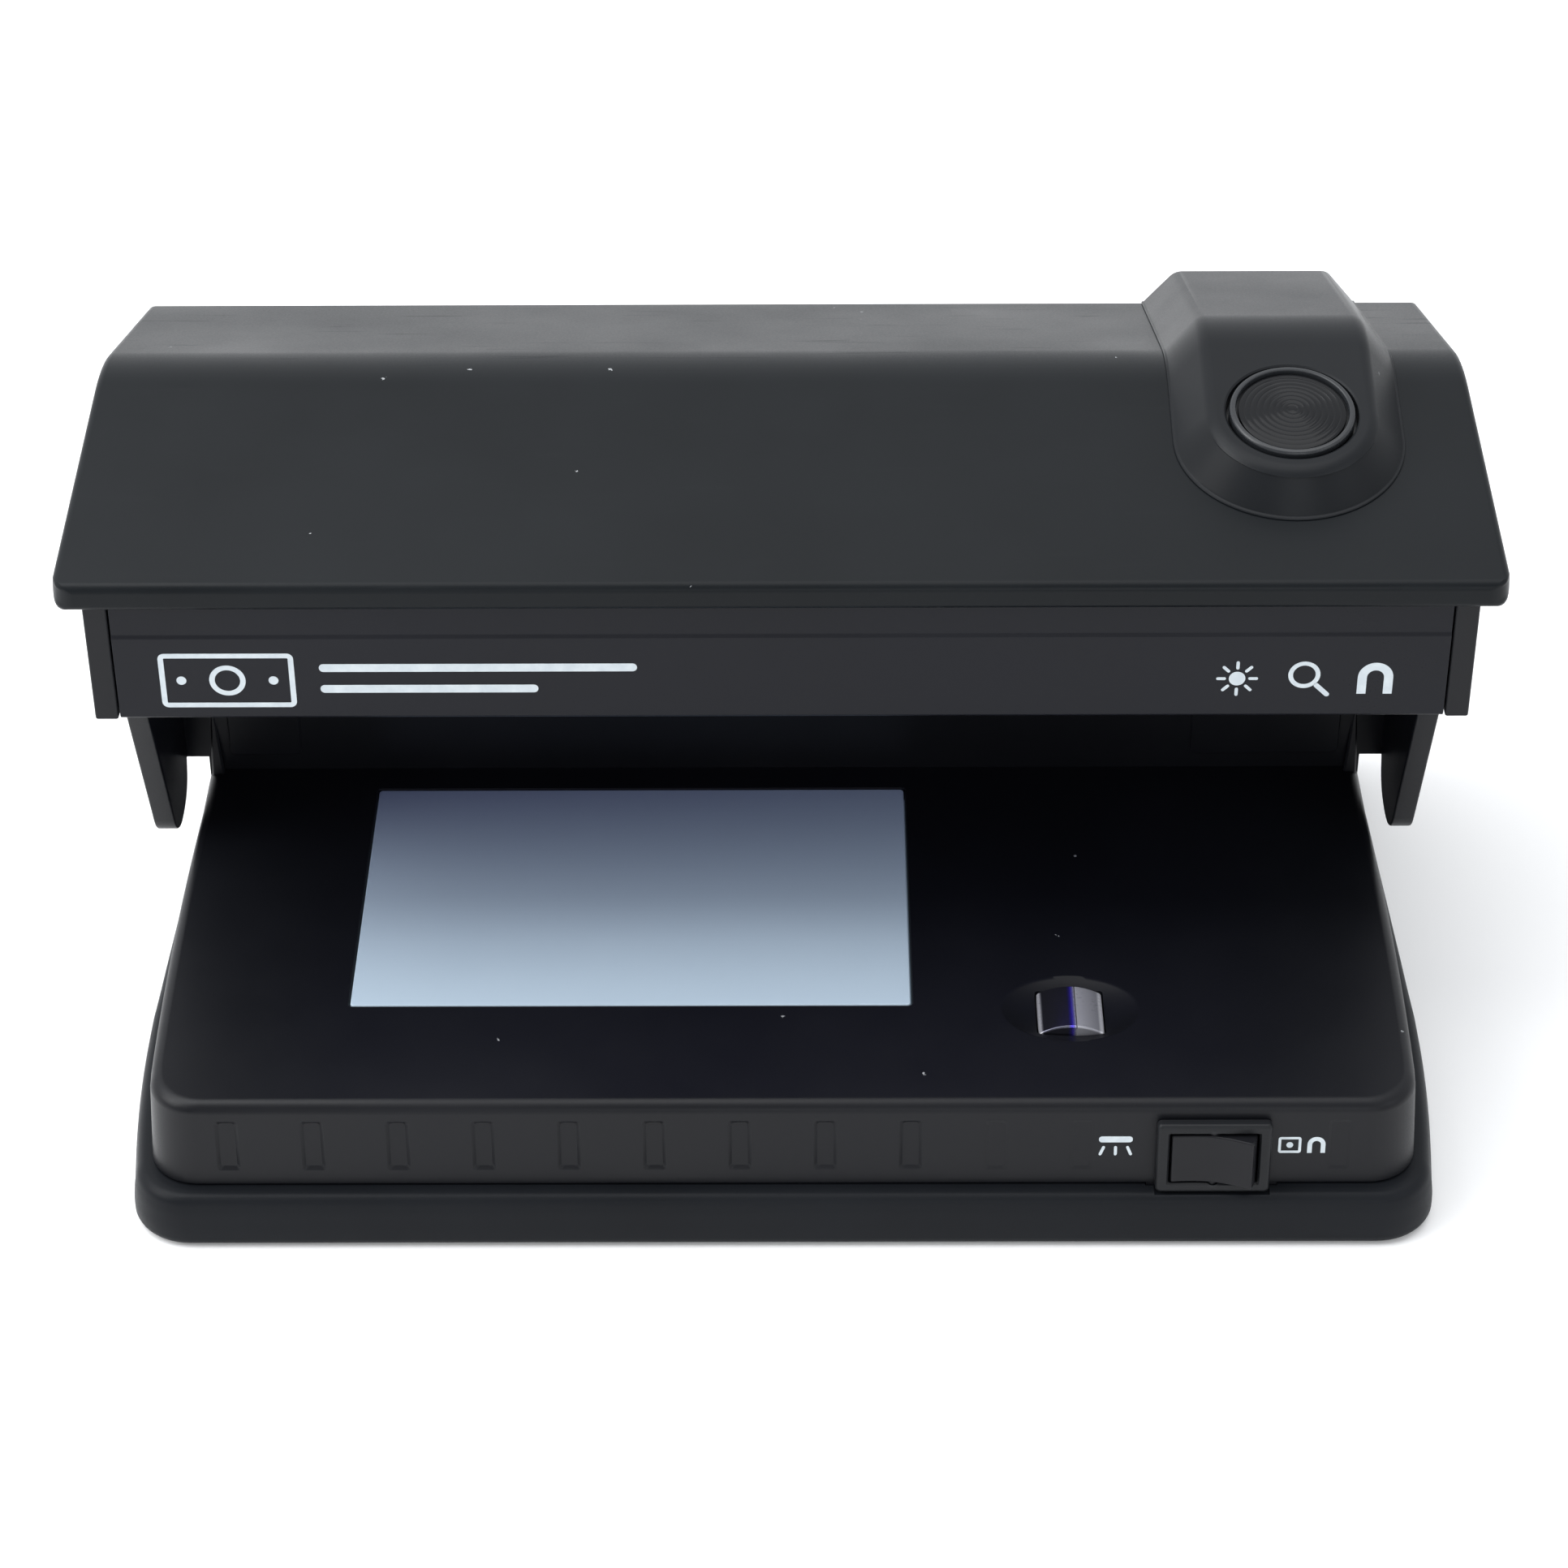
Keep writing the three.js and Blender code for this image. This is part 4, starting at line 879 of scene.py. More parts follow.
def make_tray():
    heights, insets = np.array(TRAY_SECTION).T
    lengths = [hypot(heights[i + 1] - heights[i], insets[i + 1] - insets[i])
               for i in range(len(heights) - 1)]
    knots = np.cumsum([0] + lengths)
    places = np.linspace(0, knots[-1], 34)
    section = zip(hermite(knots, heights, places), hermite(knots, insets, places))
    tray = loft([tray_loop(z, max(0.0, inset)) for z, inset in section])
    hollow = [(4.0, 6.6), (4.4, 5.0), (5.2, 4.0), (8.9, 3.5), (9.0, 3.5)]
    cut(tray, loft([tray_loop(z, inset) for z, inset in hollow]))
    cut(tray, loft([plan((114.6, 114.6), (-70.2, 70.2), (6.4, 6.4), z) for z in (8.8, 12.2)]))
    for centre in SCREWS:
        unite(tray, rod("z", 5.0, 2.6, 9.0, centre))
    for centre in [(62, -18), (100, -18), (62, 24), (100, 24)]:
        unite(tray, rod("z", 2.6, 3.5, 6.9, centre, 24))
    cut(tray, *[rod("z", 6.8, 0.0, 3.2, centre, 48) for centre in FEET])
    counterbore = [(0, 0.0), (3.8, 0.0), (3.8, 0.7), (3.4, 1.2), (3.4, 5.2), (1.7, 5.2),
                   (1.7, 10), (0, 10)]
    cut(tray, *[shifted(lathe(counterbore, 40), x, y) for x, y in SCREWS])
    # seven long vents
    cut(tray, *[prism("z", rrect(-70, -20, 36 + i * 5, 38.2 + i * 5, 1.0, 5), 0, 5)
                for i in range(7)])
    # stepped clearance behind the switch
    cut(tray, box(SWITCH_X - 10.62, SWITCH_X + 10.62, -75.75, -68, 10.66, 13))
    cut(tray, box(SWITCH_X - 12.15, SWITCH_X + 12.15, -73.5, -68, 9.1, 13))
    # moulded recess for a rating plate, left blank
    cut(tray, prism("z", rrect(10, 64, -34, -6, 1.5), 0.0, 0.72))
    piece(tray, "base_tray_shell", "base_tray", "tray_plastic")


# ================================================================ main body
# y, z down the lower front edge of a side plate
PLATE_EDGE = [(12.2, 31.4), (13.3, 29.2), (15.3, 27.1), (18.3, 25.7), (22.6, 25.3),
              (27.4, 26.2), (30.5, 28.4), (31.8, 30.9), (32.4, COLUMN_FLOOR)]
# z, outer x, inner x, front y
GUSSET_ROWS = [(26.5, 115.9, 113.2, 31.0), (28.4, 115.9, 113.2, 31.1),
               (33.0, 115.75, 113.6, 31.5), (37.5, 115.5, 114.0, 32.1),
               (42.0, 115.2, 114.55, 32.9)]


def shell_loop(z, inset, back_inset=0.0):
    share = (z - SHELL_FOOT) / (DECK_Z - SHELL_FOOT)
    half = SHELL_HALF_FOOT + (SHELL_HALF_TOP - SHELL_HALF_FOOT) * share
    return plan((half - inset, half - 0.4 - inset), (face_y(z) + inset, COLUMN_BACK - back_inset),
                (9.5 - min(inset, 2.4) * 0.6, 3.0), z, range(-60, 25, 5),
                lambda y: SHELL_CROWN * (1 - ((y + 20) / 45) ** 2))


def outward(x, edge):
    """From x out to the edge on the same side, lowest first."""
    return sorted((x, copysign(edge, x)))


def window_outline(radius, grow, steps):
    return rrect(*WINDOW, radius, steps, grow)


def make_base_and_column():
    deck_round = 2.2
    loops = [shell_loop(SHELL_FOOT + rise, inset)
             for rise, inset in ((0, 0.35), (0.12, 0.12), (0.4, 0))]
    for i in range(10):
        turn = (i / 9) * pi / 2
        loops.append(shell_loop(DECK_Z - deck_round + deck_round * sin(turn),
                                deck_round * (1 - cos(turn))))
    body = loft(loops)

    side = fillet([(COLUMN_Y, COLUMN_FLOOR), (COLUMN_BACK, COLUMN_FLOOR), (COLUMN_BACK, 102.95),
                   (43.9, 111.0), (COLUMN_Y, 111.0)], [0, 0.8, 0.4, 0, 0], 4)

    def end_edges(start, end, angle):
        at_front = abs(start.y - COLUMN_Y) < 0.01 and abs(end.y - COLUMN_Y) < 0.01
        return (abs(start.x) > 125 and abs(end.x) > 125 and start.x * end.x > 0
                and angle > 0.9 and not at_front)

    unite(body, bevel(prism("x", side, -FRAME_HALF, FRAME_HALF), 0.6, 3, end_edges))
    unite(body, prism("x", rrect(COLUMN_Y, COLUMN_BACK, 26.0, 34.0, 0), -116.4, 116.4))
    # hollow column and base
    inner = FRAME_HALF - WALL
    front = COLUMN_Y + WALL
    back = COLUMN_BACK - WALL
    cut(body, box(-inner, inner, front, COLUMN_BACK + 3, 36.0, 115))
    cut(body, box(-inner, inner, front, back, 34.4, 37))
    cut(body, loft([shell_loop(z, WALL, WALL) for z in (SHELL_FOOT - 1, DECK_UNDER)]))
    cut(body, box(-113.9, 113.9, front, back, 25.0, 36.5))
    return body


def add_side_plates(body):
    outline = [(FASCIA_Y, HOOD_BOTTOM)]
    outline += bezier((-11.4, HOOD_BOTTOM), (-9.6, HOOD_BOTTOM), (-9.0, 84.6), 5)
    outline += smooth_curve(PLATE_EDGE, 3)
    outline += [(COLUMN_Y + 4, COLUMN_FLOOR), (COLUMN_Y + 4, 111.0), (FASCIA_Y, 111.0)]

    def free_edges(start, end, angle):
        in_column = min(start.y, end.y) > COLUMN_Y + 3.9
        on_top = min(start.z, end.z) > 110
        return (angle > 0.9 and start.x * end.x > 0 and abs(start.x - end.x) < 1e-3
                and not in_column and not on_top)

    for side in (-1, 1):
        low, high = sorted((side * PLATE_IN, side * FRAME_HALF))
        unite(body, bevel(prism("x", outline, low, high), 0.55, 3, free_edges))
    # cross rail behind the fascia
    unite(body, box(-PLATE_IN - 1, PLATE_IN + 1, -26.9, -25.3, 104.6, 110.8))


def add_column_details(body):
    # raised pads on the column's front wall, with drafted edges
    for left, right in ((-112.0, -97.5), (82.0, 112.0)):
        unite(body, loft([
            layer("y", rrect(left + 0.3, right - 0.3, 32.9, 83.6, 1.2, 5), COLUMN_Y - 0.45),
            layer("y", rrect(left + 0.05, right - 0.05, 32.6, 83.9, 1.4, 5), COLUMN_Y - 0.3),
            layer("y", rrect(left - 0.2, right + 0.2, 32.2, 84.2, 1.5, 5), COLUMN_Y + 1)]))
    # gussets between the deck and the column
    for side in (-1, 1):
        loops = []
        for z, outer, inner, front in GUSSET_ROWS:
            ease = min(0.4, (outer - inner) * 0.3)
            loops.append([(side * outer, front + ease, z), (side * (outer - ease), front, z),
                          (side * (inner + ease), front, z), (side * inner, front + ease, z),
                          (side * inner, 33.8, z), (side * outer, 33.8, z)])
        unite(body, loft(loops))


def cut_deck(body):
    """The dish, the head's slot and the light window."""
    def oval(share, z):
        return layer("z", ring(DISH_RX * share, 96, HEAD_X, HEAD_Y, DISH_RY * share), z)

    # thickened seat under the dish
    seat = ring(DISH_RX + 2.4, 48, HEAD_X, HEAD_Y, DISH_RY + 2.4)
    unite(body, prism("z", seat, 24.2, 27.0))
    dish = []
    for i in range(13):
        share = 0.30 + 0.70 * (i / 12)
        dish.append(oval(share, DECK_Z - DISH_DEPTH * (1 - ((share - 0.30) / 0.70) ** 1.9)))
    dish += [oval(1.012, DECK_Z + 0.06), oval(1.012, DECK_Z + 2)]
    cut(body, loft(dish))
    cut(body, prism("z", rrect(HEAD_X - 6.45, HEAD_X + 6.45, HEAD_Y - 6.3, HEAD_Y + 6.3, 0.7, 4),
                    20, 30))
    # window opening with a small edge break: height, growth, corner radius
    stations = [(20, 0.25, 0.8), (DECK_Z - 0.2, 0.25, 0.8), (DECK_Z + 0.05, 0.5, 1.0),
                (32, 0.5, 1.0)]
    cut(body, loft([layer("z", window_outline(radius, grow, 4), z)
                    for z, grow, radius in stations]))


def add_bosses(body):
    for x, y in SCREWS:
        unite(body, rod("z", 4.0, 9.3, 35.4 if y > 0 else 27.0, (x, y), 24))
        if y > 0:
            unite(body, box(*outward(x, 115.5), y - 1.2, y + 1.2, 12.5, 35.4))
    cut(body, *[rod("z", 1.5, 9.0, 18.0, centre, 20) for centre in SCREWS])
    for x in REAR_SCREW_XS:
        unite(body, rod("y", 4.6, COLUMN_Y + 1, 74.4, (x, REAR_SCREW_Z), 24))
        unite(body, box(*outward(x, 124), COLUMN_Y + 1, 74.4, 95.0, 101.0))
    cut(body, *[rod("y", 1.5, 60, 76, (x, REAR_SCREW_Z), 20) for x in REAR_SCREW_XS])


def grip_slot(x):
    """Cutter for a grip slot, tapered towards its floor."""
    depth = 0.50 if x < 30 else 0.22
    # depth behind the face, growth of the outline
    stations = [(depth, -0.45), (depth * 0.7, -0.25), (depth * 0.3, 0.0), (0.03, 0.22),
                (-0.02, 0.32), (-1.5, 0.32)]
    loops = []
    for inward, grow in stations:
        outline = rrect(x - SLOT_W / 2, x + SLOT_W / 2, SLOT_LOW, SLOT_HIGH, 0.7, 4, grow)
        loops.append([(slot_x, face_y(z) + inward, z) for slot_x, z in outline])
    return loft(loops)


def make_body():
    body = make_base_and_column()
    add_side_plates(body)
    add_column_details(body)
    cut_deck(body)
    add_bosses(body)
    # tongue round the switch and its cut-out
    tongue = [(face_y(9.3), 9.3), (face_y(9.3) + WALL, 9.3), (face_y(13) + WALL, 13),
              (face_y(13), 13)]
    unite(body, prism("x", tongue, SWITCH_X - 12, SWITCH_X + 12))
    cut(body, moved(box(-9.9, 9.9, -5, 5, -6.7, 6.7), SWITCH_FRAME))
    slot_xs = [SLOT_START_X + i * SLOT_PITCH for i in range(11)] + [SLOT_LAST_X]
    cut(body, *[grip_slot(x) for x in slot_xs])
    # wire way over the column's front wall
    cut(body, box(-118.0, -104.0, COLUMN_Y - 2, COLUMN_Y + 5, 107.0, 112.0))
    piece(body, "main_body_shell", "main_body", "shell_plastic", sharp=28)


# =============================================================== hood cover
def cover_block(lift=0.0):
    """The cover as a sharp-edged solid."""
    side = [(LIP_Y, RIM_Z), (LIP_Y, cover_z(LIP_Y))]
    side += bezier((18, cover_z(18)), (RIDGE_Y, RIDGE_Z), (33, back_z(33)), 14)
    side += [(COVER_BACK, back_z(COVER_BACK)), (COVER_BACK, 103.0), (44, RIM_Z)]
    return loft([[(sign * cover_half(y, z), y, z + lift) for y, z in side] for sign in (-1, 1)])


def cover_edge(start, end, angle):
    """Share of the cover's edge radius."""
    if angle < 0.25:
        return 0.0
    low = max(start.z, end.z) < RIM_Z + 0.1
    if start.x * end.x < 0:                    # edges that run across
        if low and start.y < -30:
            return 0.30
        if abs(start.y - LIP_Y) < 0.1 or (abs(start.y - COVER_BACK) < 0.1 and start.z > 105):
            return 0.34
        return 0.10 if start.y > 79 else 0.0
    if max(start.y, end.y) < -32.1:            # the lip's upright corners
        return 1.0
    if low and min(start.y, end.y) < 0 and max(start.y, end.y) < 44.5:
        return 0.60                            # rolled lower edge of the sides
    if low or (min(start.y, end.y) > 79 and max(start.z, end.z) < 104):
        return 0.16
    return 0.34


def make_cover():
    cover = bevel(cover_block(), 4.4, 6, cover_edge)
    roof = [(-29.6, 113.4), (-29.6, 114.2), (-28.6, cover_z(-28.6) - 2.5)]
    roof += bezier((18, cover_z(18) - 2.5), (RIDGE_Y, RIDGE_Z - 2.5), (33, back_z(33) - 2.6), 8)
    roof += [(77.4, back_z(77.4) - 2.6), (77.4, 105.8), (44.3, 113.4)]
    cut(cover, prism("x", roof, -125.2, 125.2))
    skirt = [(-27.0, 100), (74.4, 100), (74.4, 106.9), (44.3, 113.8), (-27.0, 113.8)]
    cut(cover, prism("x", skirt, -122.4, 122.4))
    cut(cover, moved(rod("z", 13.0, -8, 8, (0, 0), 64), LENS_FRAME))
    piece(cover, "hood_cover_shell", "hood_cover", "cover_plastic", sharp=28)


# ============================================================ magnifier pod
# y, z where the cover's two slopes are joined by a short curve at the ridge
RIDGE_SOFT = 6.5
RIDGE_CURVE = bezier((RIDGE_Y - RIDGE_SOFT, cover_z(RIDGE_Y - RIDGE_SOFT)), (RIDGE_Y, RIDGE_Z),
                     (RIDGE_Y + RIDGE_SOFT, back_z(RIDGE_Y + RIDGE_SOFT)), 13)


def pod_block(rows):
    """Solid over the cover's slopes from rows of radius, fore reach, rise, centre y, back end."""
    front_steps = 40
    loops = []
    for radius, fore, rise, centre_y, back_end in rows:
        loop = []
        for i in range(front_steps + 1):
            turn = -pi / 2 + (i / front_steps) * pi
            y = centre_y - fore * cos(COVER_TILT) * cos(turn)
            loop.append((POD_X + radius * sin(turn), y, cover_z(y) + rise))
        flank = [(y, z + rise) for y, z in RIDGE_CURVE] + [(back_end, back_z(back_end) + rise)]
        loop += [(POD_X + radius, y, z) for y, z in flank]
        loop += [(POD_X - radius, y, z) for y, z in reversed(flank)]
        loops.append(loop)
    verts, faces = skin(loops)
    # caps: a front field, then strips over the ridge to the back
    right = front_steps + 1
    left = len(loops[0]) - 1
    caps = [tuple(range(right)) + (right, left)]
    caps += [(right + i, right + i + 1, left - i - 1, left - i) for i in range(len(RIDGE_CURVE))]
    top = len(verts) - len(loops[0])
    for cap in caps:
        faces.append(tuple(reversed(cap)))
        faces.append(tuple(top + i for i in cap))
    return solid_from(verts, faces)


def pod_rows():
    """A narrow welt round the foot, a straight flank, and a crown tangent to both."""
    top = POD_H / cos(COVER_TILT)
    top_y = LENS_FOOT_Y - POD_H * sin(COVER_TILT)
    welt = POD_FOOT_R + 0.45
    rows = [(welt, 20.6, -3.0, LENS_FOOT_Y, 79.0),
            (welt, 20.6, 0.25, LENS_FOOT_Y, 78.9),
            (POD_FOOT_R + 0.35, 20.5, 0.42, LENS_FOOT_Y, 78.8),
            (POD_FOOT_R + 0.05, 20.15, 0.46, LENS_FOOT_Y, 78.75),
            (POD_FOOT_R - 0.05, 20.05, 0.52, LENS_FOOT_Y, 78.7)]
    flank_r = POD_TOP_R + 0.35
    flank_z = top - 0.30
    foot = (POD_FOOT_R, 20.1, 0.5, LENS_FOOT_Y, 78.7)
    head = (flank_r, flank_r, flank_z, top_y, 77.6)
    foot_z = foot[2]
    for share in (0.06, 0.86):
        rows.append(tuple(low + (high - low) * share for low, high in zip(foot, head)))
    slope = atan2(flank_z - foot_z, POD_FOOT_R - flank_r)   # flank angle above the face
    crown = 3.0
    # where the flank would reach the crown's height
    meet = POD_FOOT_R + (flank_r - POD_FOOT_R) * (top - foot_z) / (flank_z - foot_z)
    centre_r = meet - crown * tan(slope / 2)
    for i in range(9):
        turn = pi / 2 - slope + slope * i / 8
        radius = centre_r + crown * cos(turn)
        rows.append((radius, radius, top - crown + crown * sin(turn), top_y, 77.6 - 0.9 * i / 8))
    return rows, top, top_y


def make_pod():
    rows, top, top_y = pod_rows()
    pod = pod_block(rows)
    inner_r = POD_TOP_R - 1.9
    cut(pod, pod_block([(POD_FOOT_R - 2.0, 18.1, -4.5, LENS_FOOT_Y, 76.4),
                        (POD_FOOT_R - 2.2, 17.9, 0.0, LENS_FOOT_Y, 76.2),
                        (inner_r, inner_r, top - 2.25, top_y + 0.4, 75.2)]))
    cut(pod, cover_block(lift=0.15))
    mouth = BORE_R + 0.5
    bore = [(0, 2), (BORE_R, 2), (BORE_R, POD_H - 0.45), (BORE_R + 0.12, POD_H - 0.2),
            (mouth, POD_H + 0.02), (mouth, 12), (0, 12)]
    cut(pod, moved(lathe(bore, 96), LENS_FRAME))
    keep_largest(pod)
    piece(pod, "magnifier_pod_shell", "magnifier_pod", "pod_plastic", sharp=26)


def make_lens():
    """Domed magnifier with moulded rings, standing in a raised rim."""
    profile = [(0, 3.5), (12.4, 3.5), (12.4, 4.8), (11.45, 4.8), (11.45, 7.45)]
    for i in range(1, 7):                      # outer roll of the rim
        turn = i / 6 * pi / 2
        profile.append((11.45 - 0.55 * (1 - cos(turn)), 7.45 + 0.65 * sin(turn)))
    profile += [(10.55, 8.12), (10.38, 8.02), (10.26, 7.75), (10.2, 6.9), (9.86, 6.9),
                (9.82, 7.38)]

    def dome(radius):
        return 7.50 + 0.62 * (1 - (radius / 10.0) ** 2)

    pitch = 1.12
    radius = 9.78
    while radius > 0.9:
        outer = dome(radius)
        inner = dome(radius - pitch * 0.86)
        profile += [(radius, outer - 0.05), (radius - 0.12, outer + 0.005),
                    (radius - pitch * 0.5, (outer + inner) / 2 + 0.02),
                    (radius - pitch * 0.84, inner - 0.005),
                    (radius - pitch * 0.94, inner - 0.05)]
        radius -= pitch
    profile += [(0.35, 8.12), (0, 8.13)]
    piece(moved(lathe(profile, 128), LENS_FRAME), "magnifier_lens_rings", "magnifier_lens",
          "lens_acrylic", sharp=24)
    retainer = lathe([(10.6, 1.8), (12.6, 1.8), (12.6, 3.1), (10.6, 3.1)], 72, True)
    piece(moved(bevel(retainer, 0.2, 2), LENS_FRAME), "lens_ring", "lens_retaining_ring",
          "black_plastic")
    duct = lathe([(9.8, 96.0), (11.0, 96.0), (11.0, 107.7), (13.2, 107.7), (13.2, 109.0),
                  (11.0, 109.0), (11.0, 118.2), (9.8, 118.2)], 64, True)
    piece(shifted(bevel(duct, 0.25, 2), POD_X, 3.9), "viewing_tube", "viewing_duct",
          "black_plastic")


# =================================================== fascia, window and head
def make_fascia():
    section = fillet([(FASCIA_Y, HOOD_BOTTOM), (-25.9, HOOD_BOTTOM), (-25.9, 87.8), (-27.1, 88.6),
                      (-27.1, 110.9), (-29.12, 110.9), (-29.24, 104.3), (FASCIA_Y, 103.5)],
                     [0.7, 0.3, 0, 0, 0, 0.2, 0.9, 0.9], 5)
    fascia = bevel(prism("x", section, -120.5, 120.5), 0.22, 2,
                   lambda start, end, angle: angle > 1.2 and start.x * end.x > 0)
    piece(fascia, "fascia_panel", "front_fascia", "fascia_plastic")


def make_window():
    # height, inset
    stations = [(25.4, 0), (28.60, 0), (28.80, 0.05), (28.91, 0.16), (28.95, 0.34)]
    slab = loft([layer("z", window_outline(0.7, -inset, 5), z) for z, inset in stations])
    unite(slab, prism("z", rrect(*WINDOW_FLANGE, 1.5, 5), 24.6, 26.2))
    piece(slab, "light_window", "window_diffuser", "diffuser_acrylic", sharp=40)


def make_head():
    half = 6.15
    section = [(HEAD_X - half, 13.2), (HEAD_X + half, 13.2)]
    section += [(HEAD_X + half - 2 * half * i / 28, 29.6 - 1.9 * (1 - 2 * i / 28) ** 2)
                for i in range(29)]
    head = bevel(prism("y", section, HEAD_Y - 6, HEAD_Y + 6), 0.45, 4,
                 lambda start, end, angle: angle > 0.6 and max(start.z, end.z) > 20)
    # fine groove over the top, beside the gap
    groove_x = HEAD_X + 0.9
    cut(head, box(groove_x - 0.09, groove_x + 0.09, HEAD_Y - 8, HEAD_Y + 8, 28.9, 31))
    piece(head, "head_shoe", "magnetic_head", "head_metal", sharp=40)


# ============================================================ rocker switch
PIVOT_OUT = 0.8             # rocker pivot, out from the front face
ROCKER_R = 7.85


def slab(half_x, half_z, low, high):
    """Block between two distances out of the front face."""
    return prism("y", rrect(-half_x, half_x, -half_z, half_z, 0), -high, -low)


def make_surround():
    # distance out of the face, inset
    stations = [(0.3, 0.0), (1.55, 0.0), (1.95, 0.12), (2.2, 0.4), (2.3, 0.8)]
    bezel = loft([layer("y", rrect(-10.5, 10.5, -7.5, 7.5, max(0.9 - inset * 0.5, 0.3), 5, -inset),
                        -out) for out, inset in stations])
    unite(bezel, slab(9.5, 6.3, -12.5, 0.8))
    # distance out of the face, growth
    stations = [(-9.0, 0.0), (1.9, 0.0), (2.32, 0.35), (5.0, 0.35)]
    cut(bezel, loft([layer("y", rrect(-8.2, 8.2, -5.45, 5.45, 0.35, 3, grow), -out)
                     for out, grow in stations]))
    cut(bezel, rod("z", 1.47, -6.13, 6.13, (0.01, -0.83), 26))
    for x in (-5.5, 0, 5.5):                   # terminal slots
        cut(bezel, shifted(slab(0.75, 2.9, -16, -8), x, 0))
    piece(moved(bezel, SWITCH_FRAME), "switch_surround", "switch_housing", "switch_plastic",
          sharp=34)


def make_rocker():
    start = asin(2.85 / ROCKER_R)
    end = -asin(4.6 / ROCKER_R)
    turns = [start + (i / 14) * (end - start) for i in range(15)]
    arc = [(ROCKER_R * cos(turn), PIVOT_OUT + ROCKER_R * sin(turn)) for turn in turns]
    section = arc + [(-x, out) for x, out in reversed(arc)]
    edge = ROCKER_R * cos(start)
    for i in range(1, 24):                     # shallow valley in the cap
        x = -edge + 2 * edge * i / 24
        section.append((x, 2.35 + (3.60 - 2.35) * (abs(x) / edge) ** 1.6))
    rocker = prism("z", [(x, -out) for x, out in section], -5.1, 5.1)
    bevel(rocker, 0.35, 3, lambda start, end, angle: angle > 0.8)
    unite(rocker, rod("z", 1.2, -6.0, 6.0, (0, -PIVOT_OUT), 20))
    tipped = (SWITCH_FRAME @ Matrix.Translation((0, -PIVOT_OUT, 0))
              @ Matrix.Rotation(-radians(10), 4, "Z") @ Matrix.Translation((0, PIVOT_OUT, 0)))
    piece(moved(rocker, tipped), "rocker_cap", "switch_rocker", "rocker_plastic", body="rocker",
          sharp=34)


# =================================================================== legends
PRINT_RISE = 0.05
PRINT_SINK = 0.03


def on_face(outline, lift):
    """(x, z) points on the front face, lifted out of it."""
    return [(x, face_y(z) - lift * cos(LEAN), z + lift * sin(LEAN)) for x, z in outline]


def on_fascia(outline, lift):
    return [(x, FASCIA_Y - lift, z) for x, z in outline]


def filled(outline, surface):
    return loft([surface(outline, -PRINT_SINK), surface(outline, PRINT_RISE)])


def hollow(outer, inner, surface):
    """Print between two outlines."""
    return solid_from(*skin([surface(outer, PRINT_RISE), surface(inner, PRINT_RISE),
                             surface(inner, -PRINT_SINK), surface(outer, -PRINT_SINK)],
                            closed=True))


def hollow_rect(left, right, low, high, radius, width, surface):
    return hollow(rrect(left, right, low, high, radius, 5),
                  rrect(left, right, low, high, max(radius - width, 0.1), 5, -width), surface)


def stroke(start, end, width):
    """A rounded bar between two points."""
    start = Vector(start)
    end = Vector(end)
    along = (end - start).normalized()
    across = Vector((-along.y, along.x))
    outline = []
    for centre, first in ((start, pi / 2), (end, -pi / 2)):
        for i in range(7):
            turn = first + pi * i / 6
            outline.append(tuple(centre + along * (width / 2 * cos(turn))
                                 + across * (width / 2 * sin(turn))))
    return outline


def magnet(x, z, outer, inner, foot_z, count):
    """A horseshoe, open downwards."""
    def arc(radius, turns):
        return [(x + radius * cos(turn), z + radius * sin(turn)) for turn in turns]

    return (arc(outer, np.linspace(0, pi, count))
            + [(x - outer, foot_z), (x - inner, foot_z)]
            + arc(inner, np.linspace(pi, 0, count))
            + [(x + inner, foot_z), (x + outer, foot_z)])


def legend(parts, name, slot):
    piece(group(*parts), name, None, slot, material="legend_print", sharp=40, weighted=False)


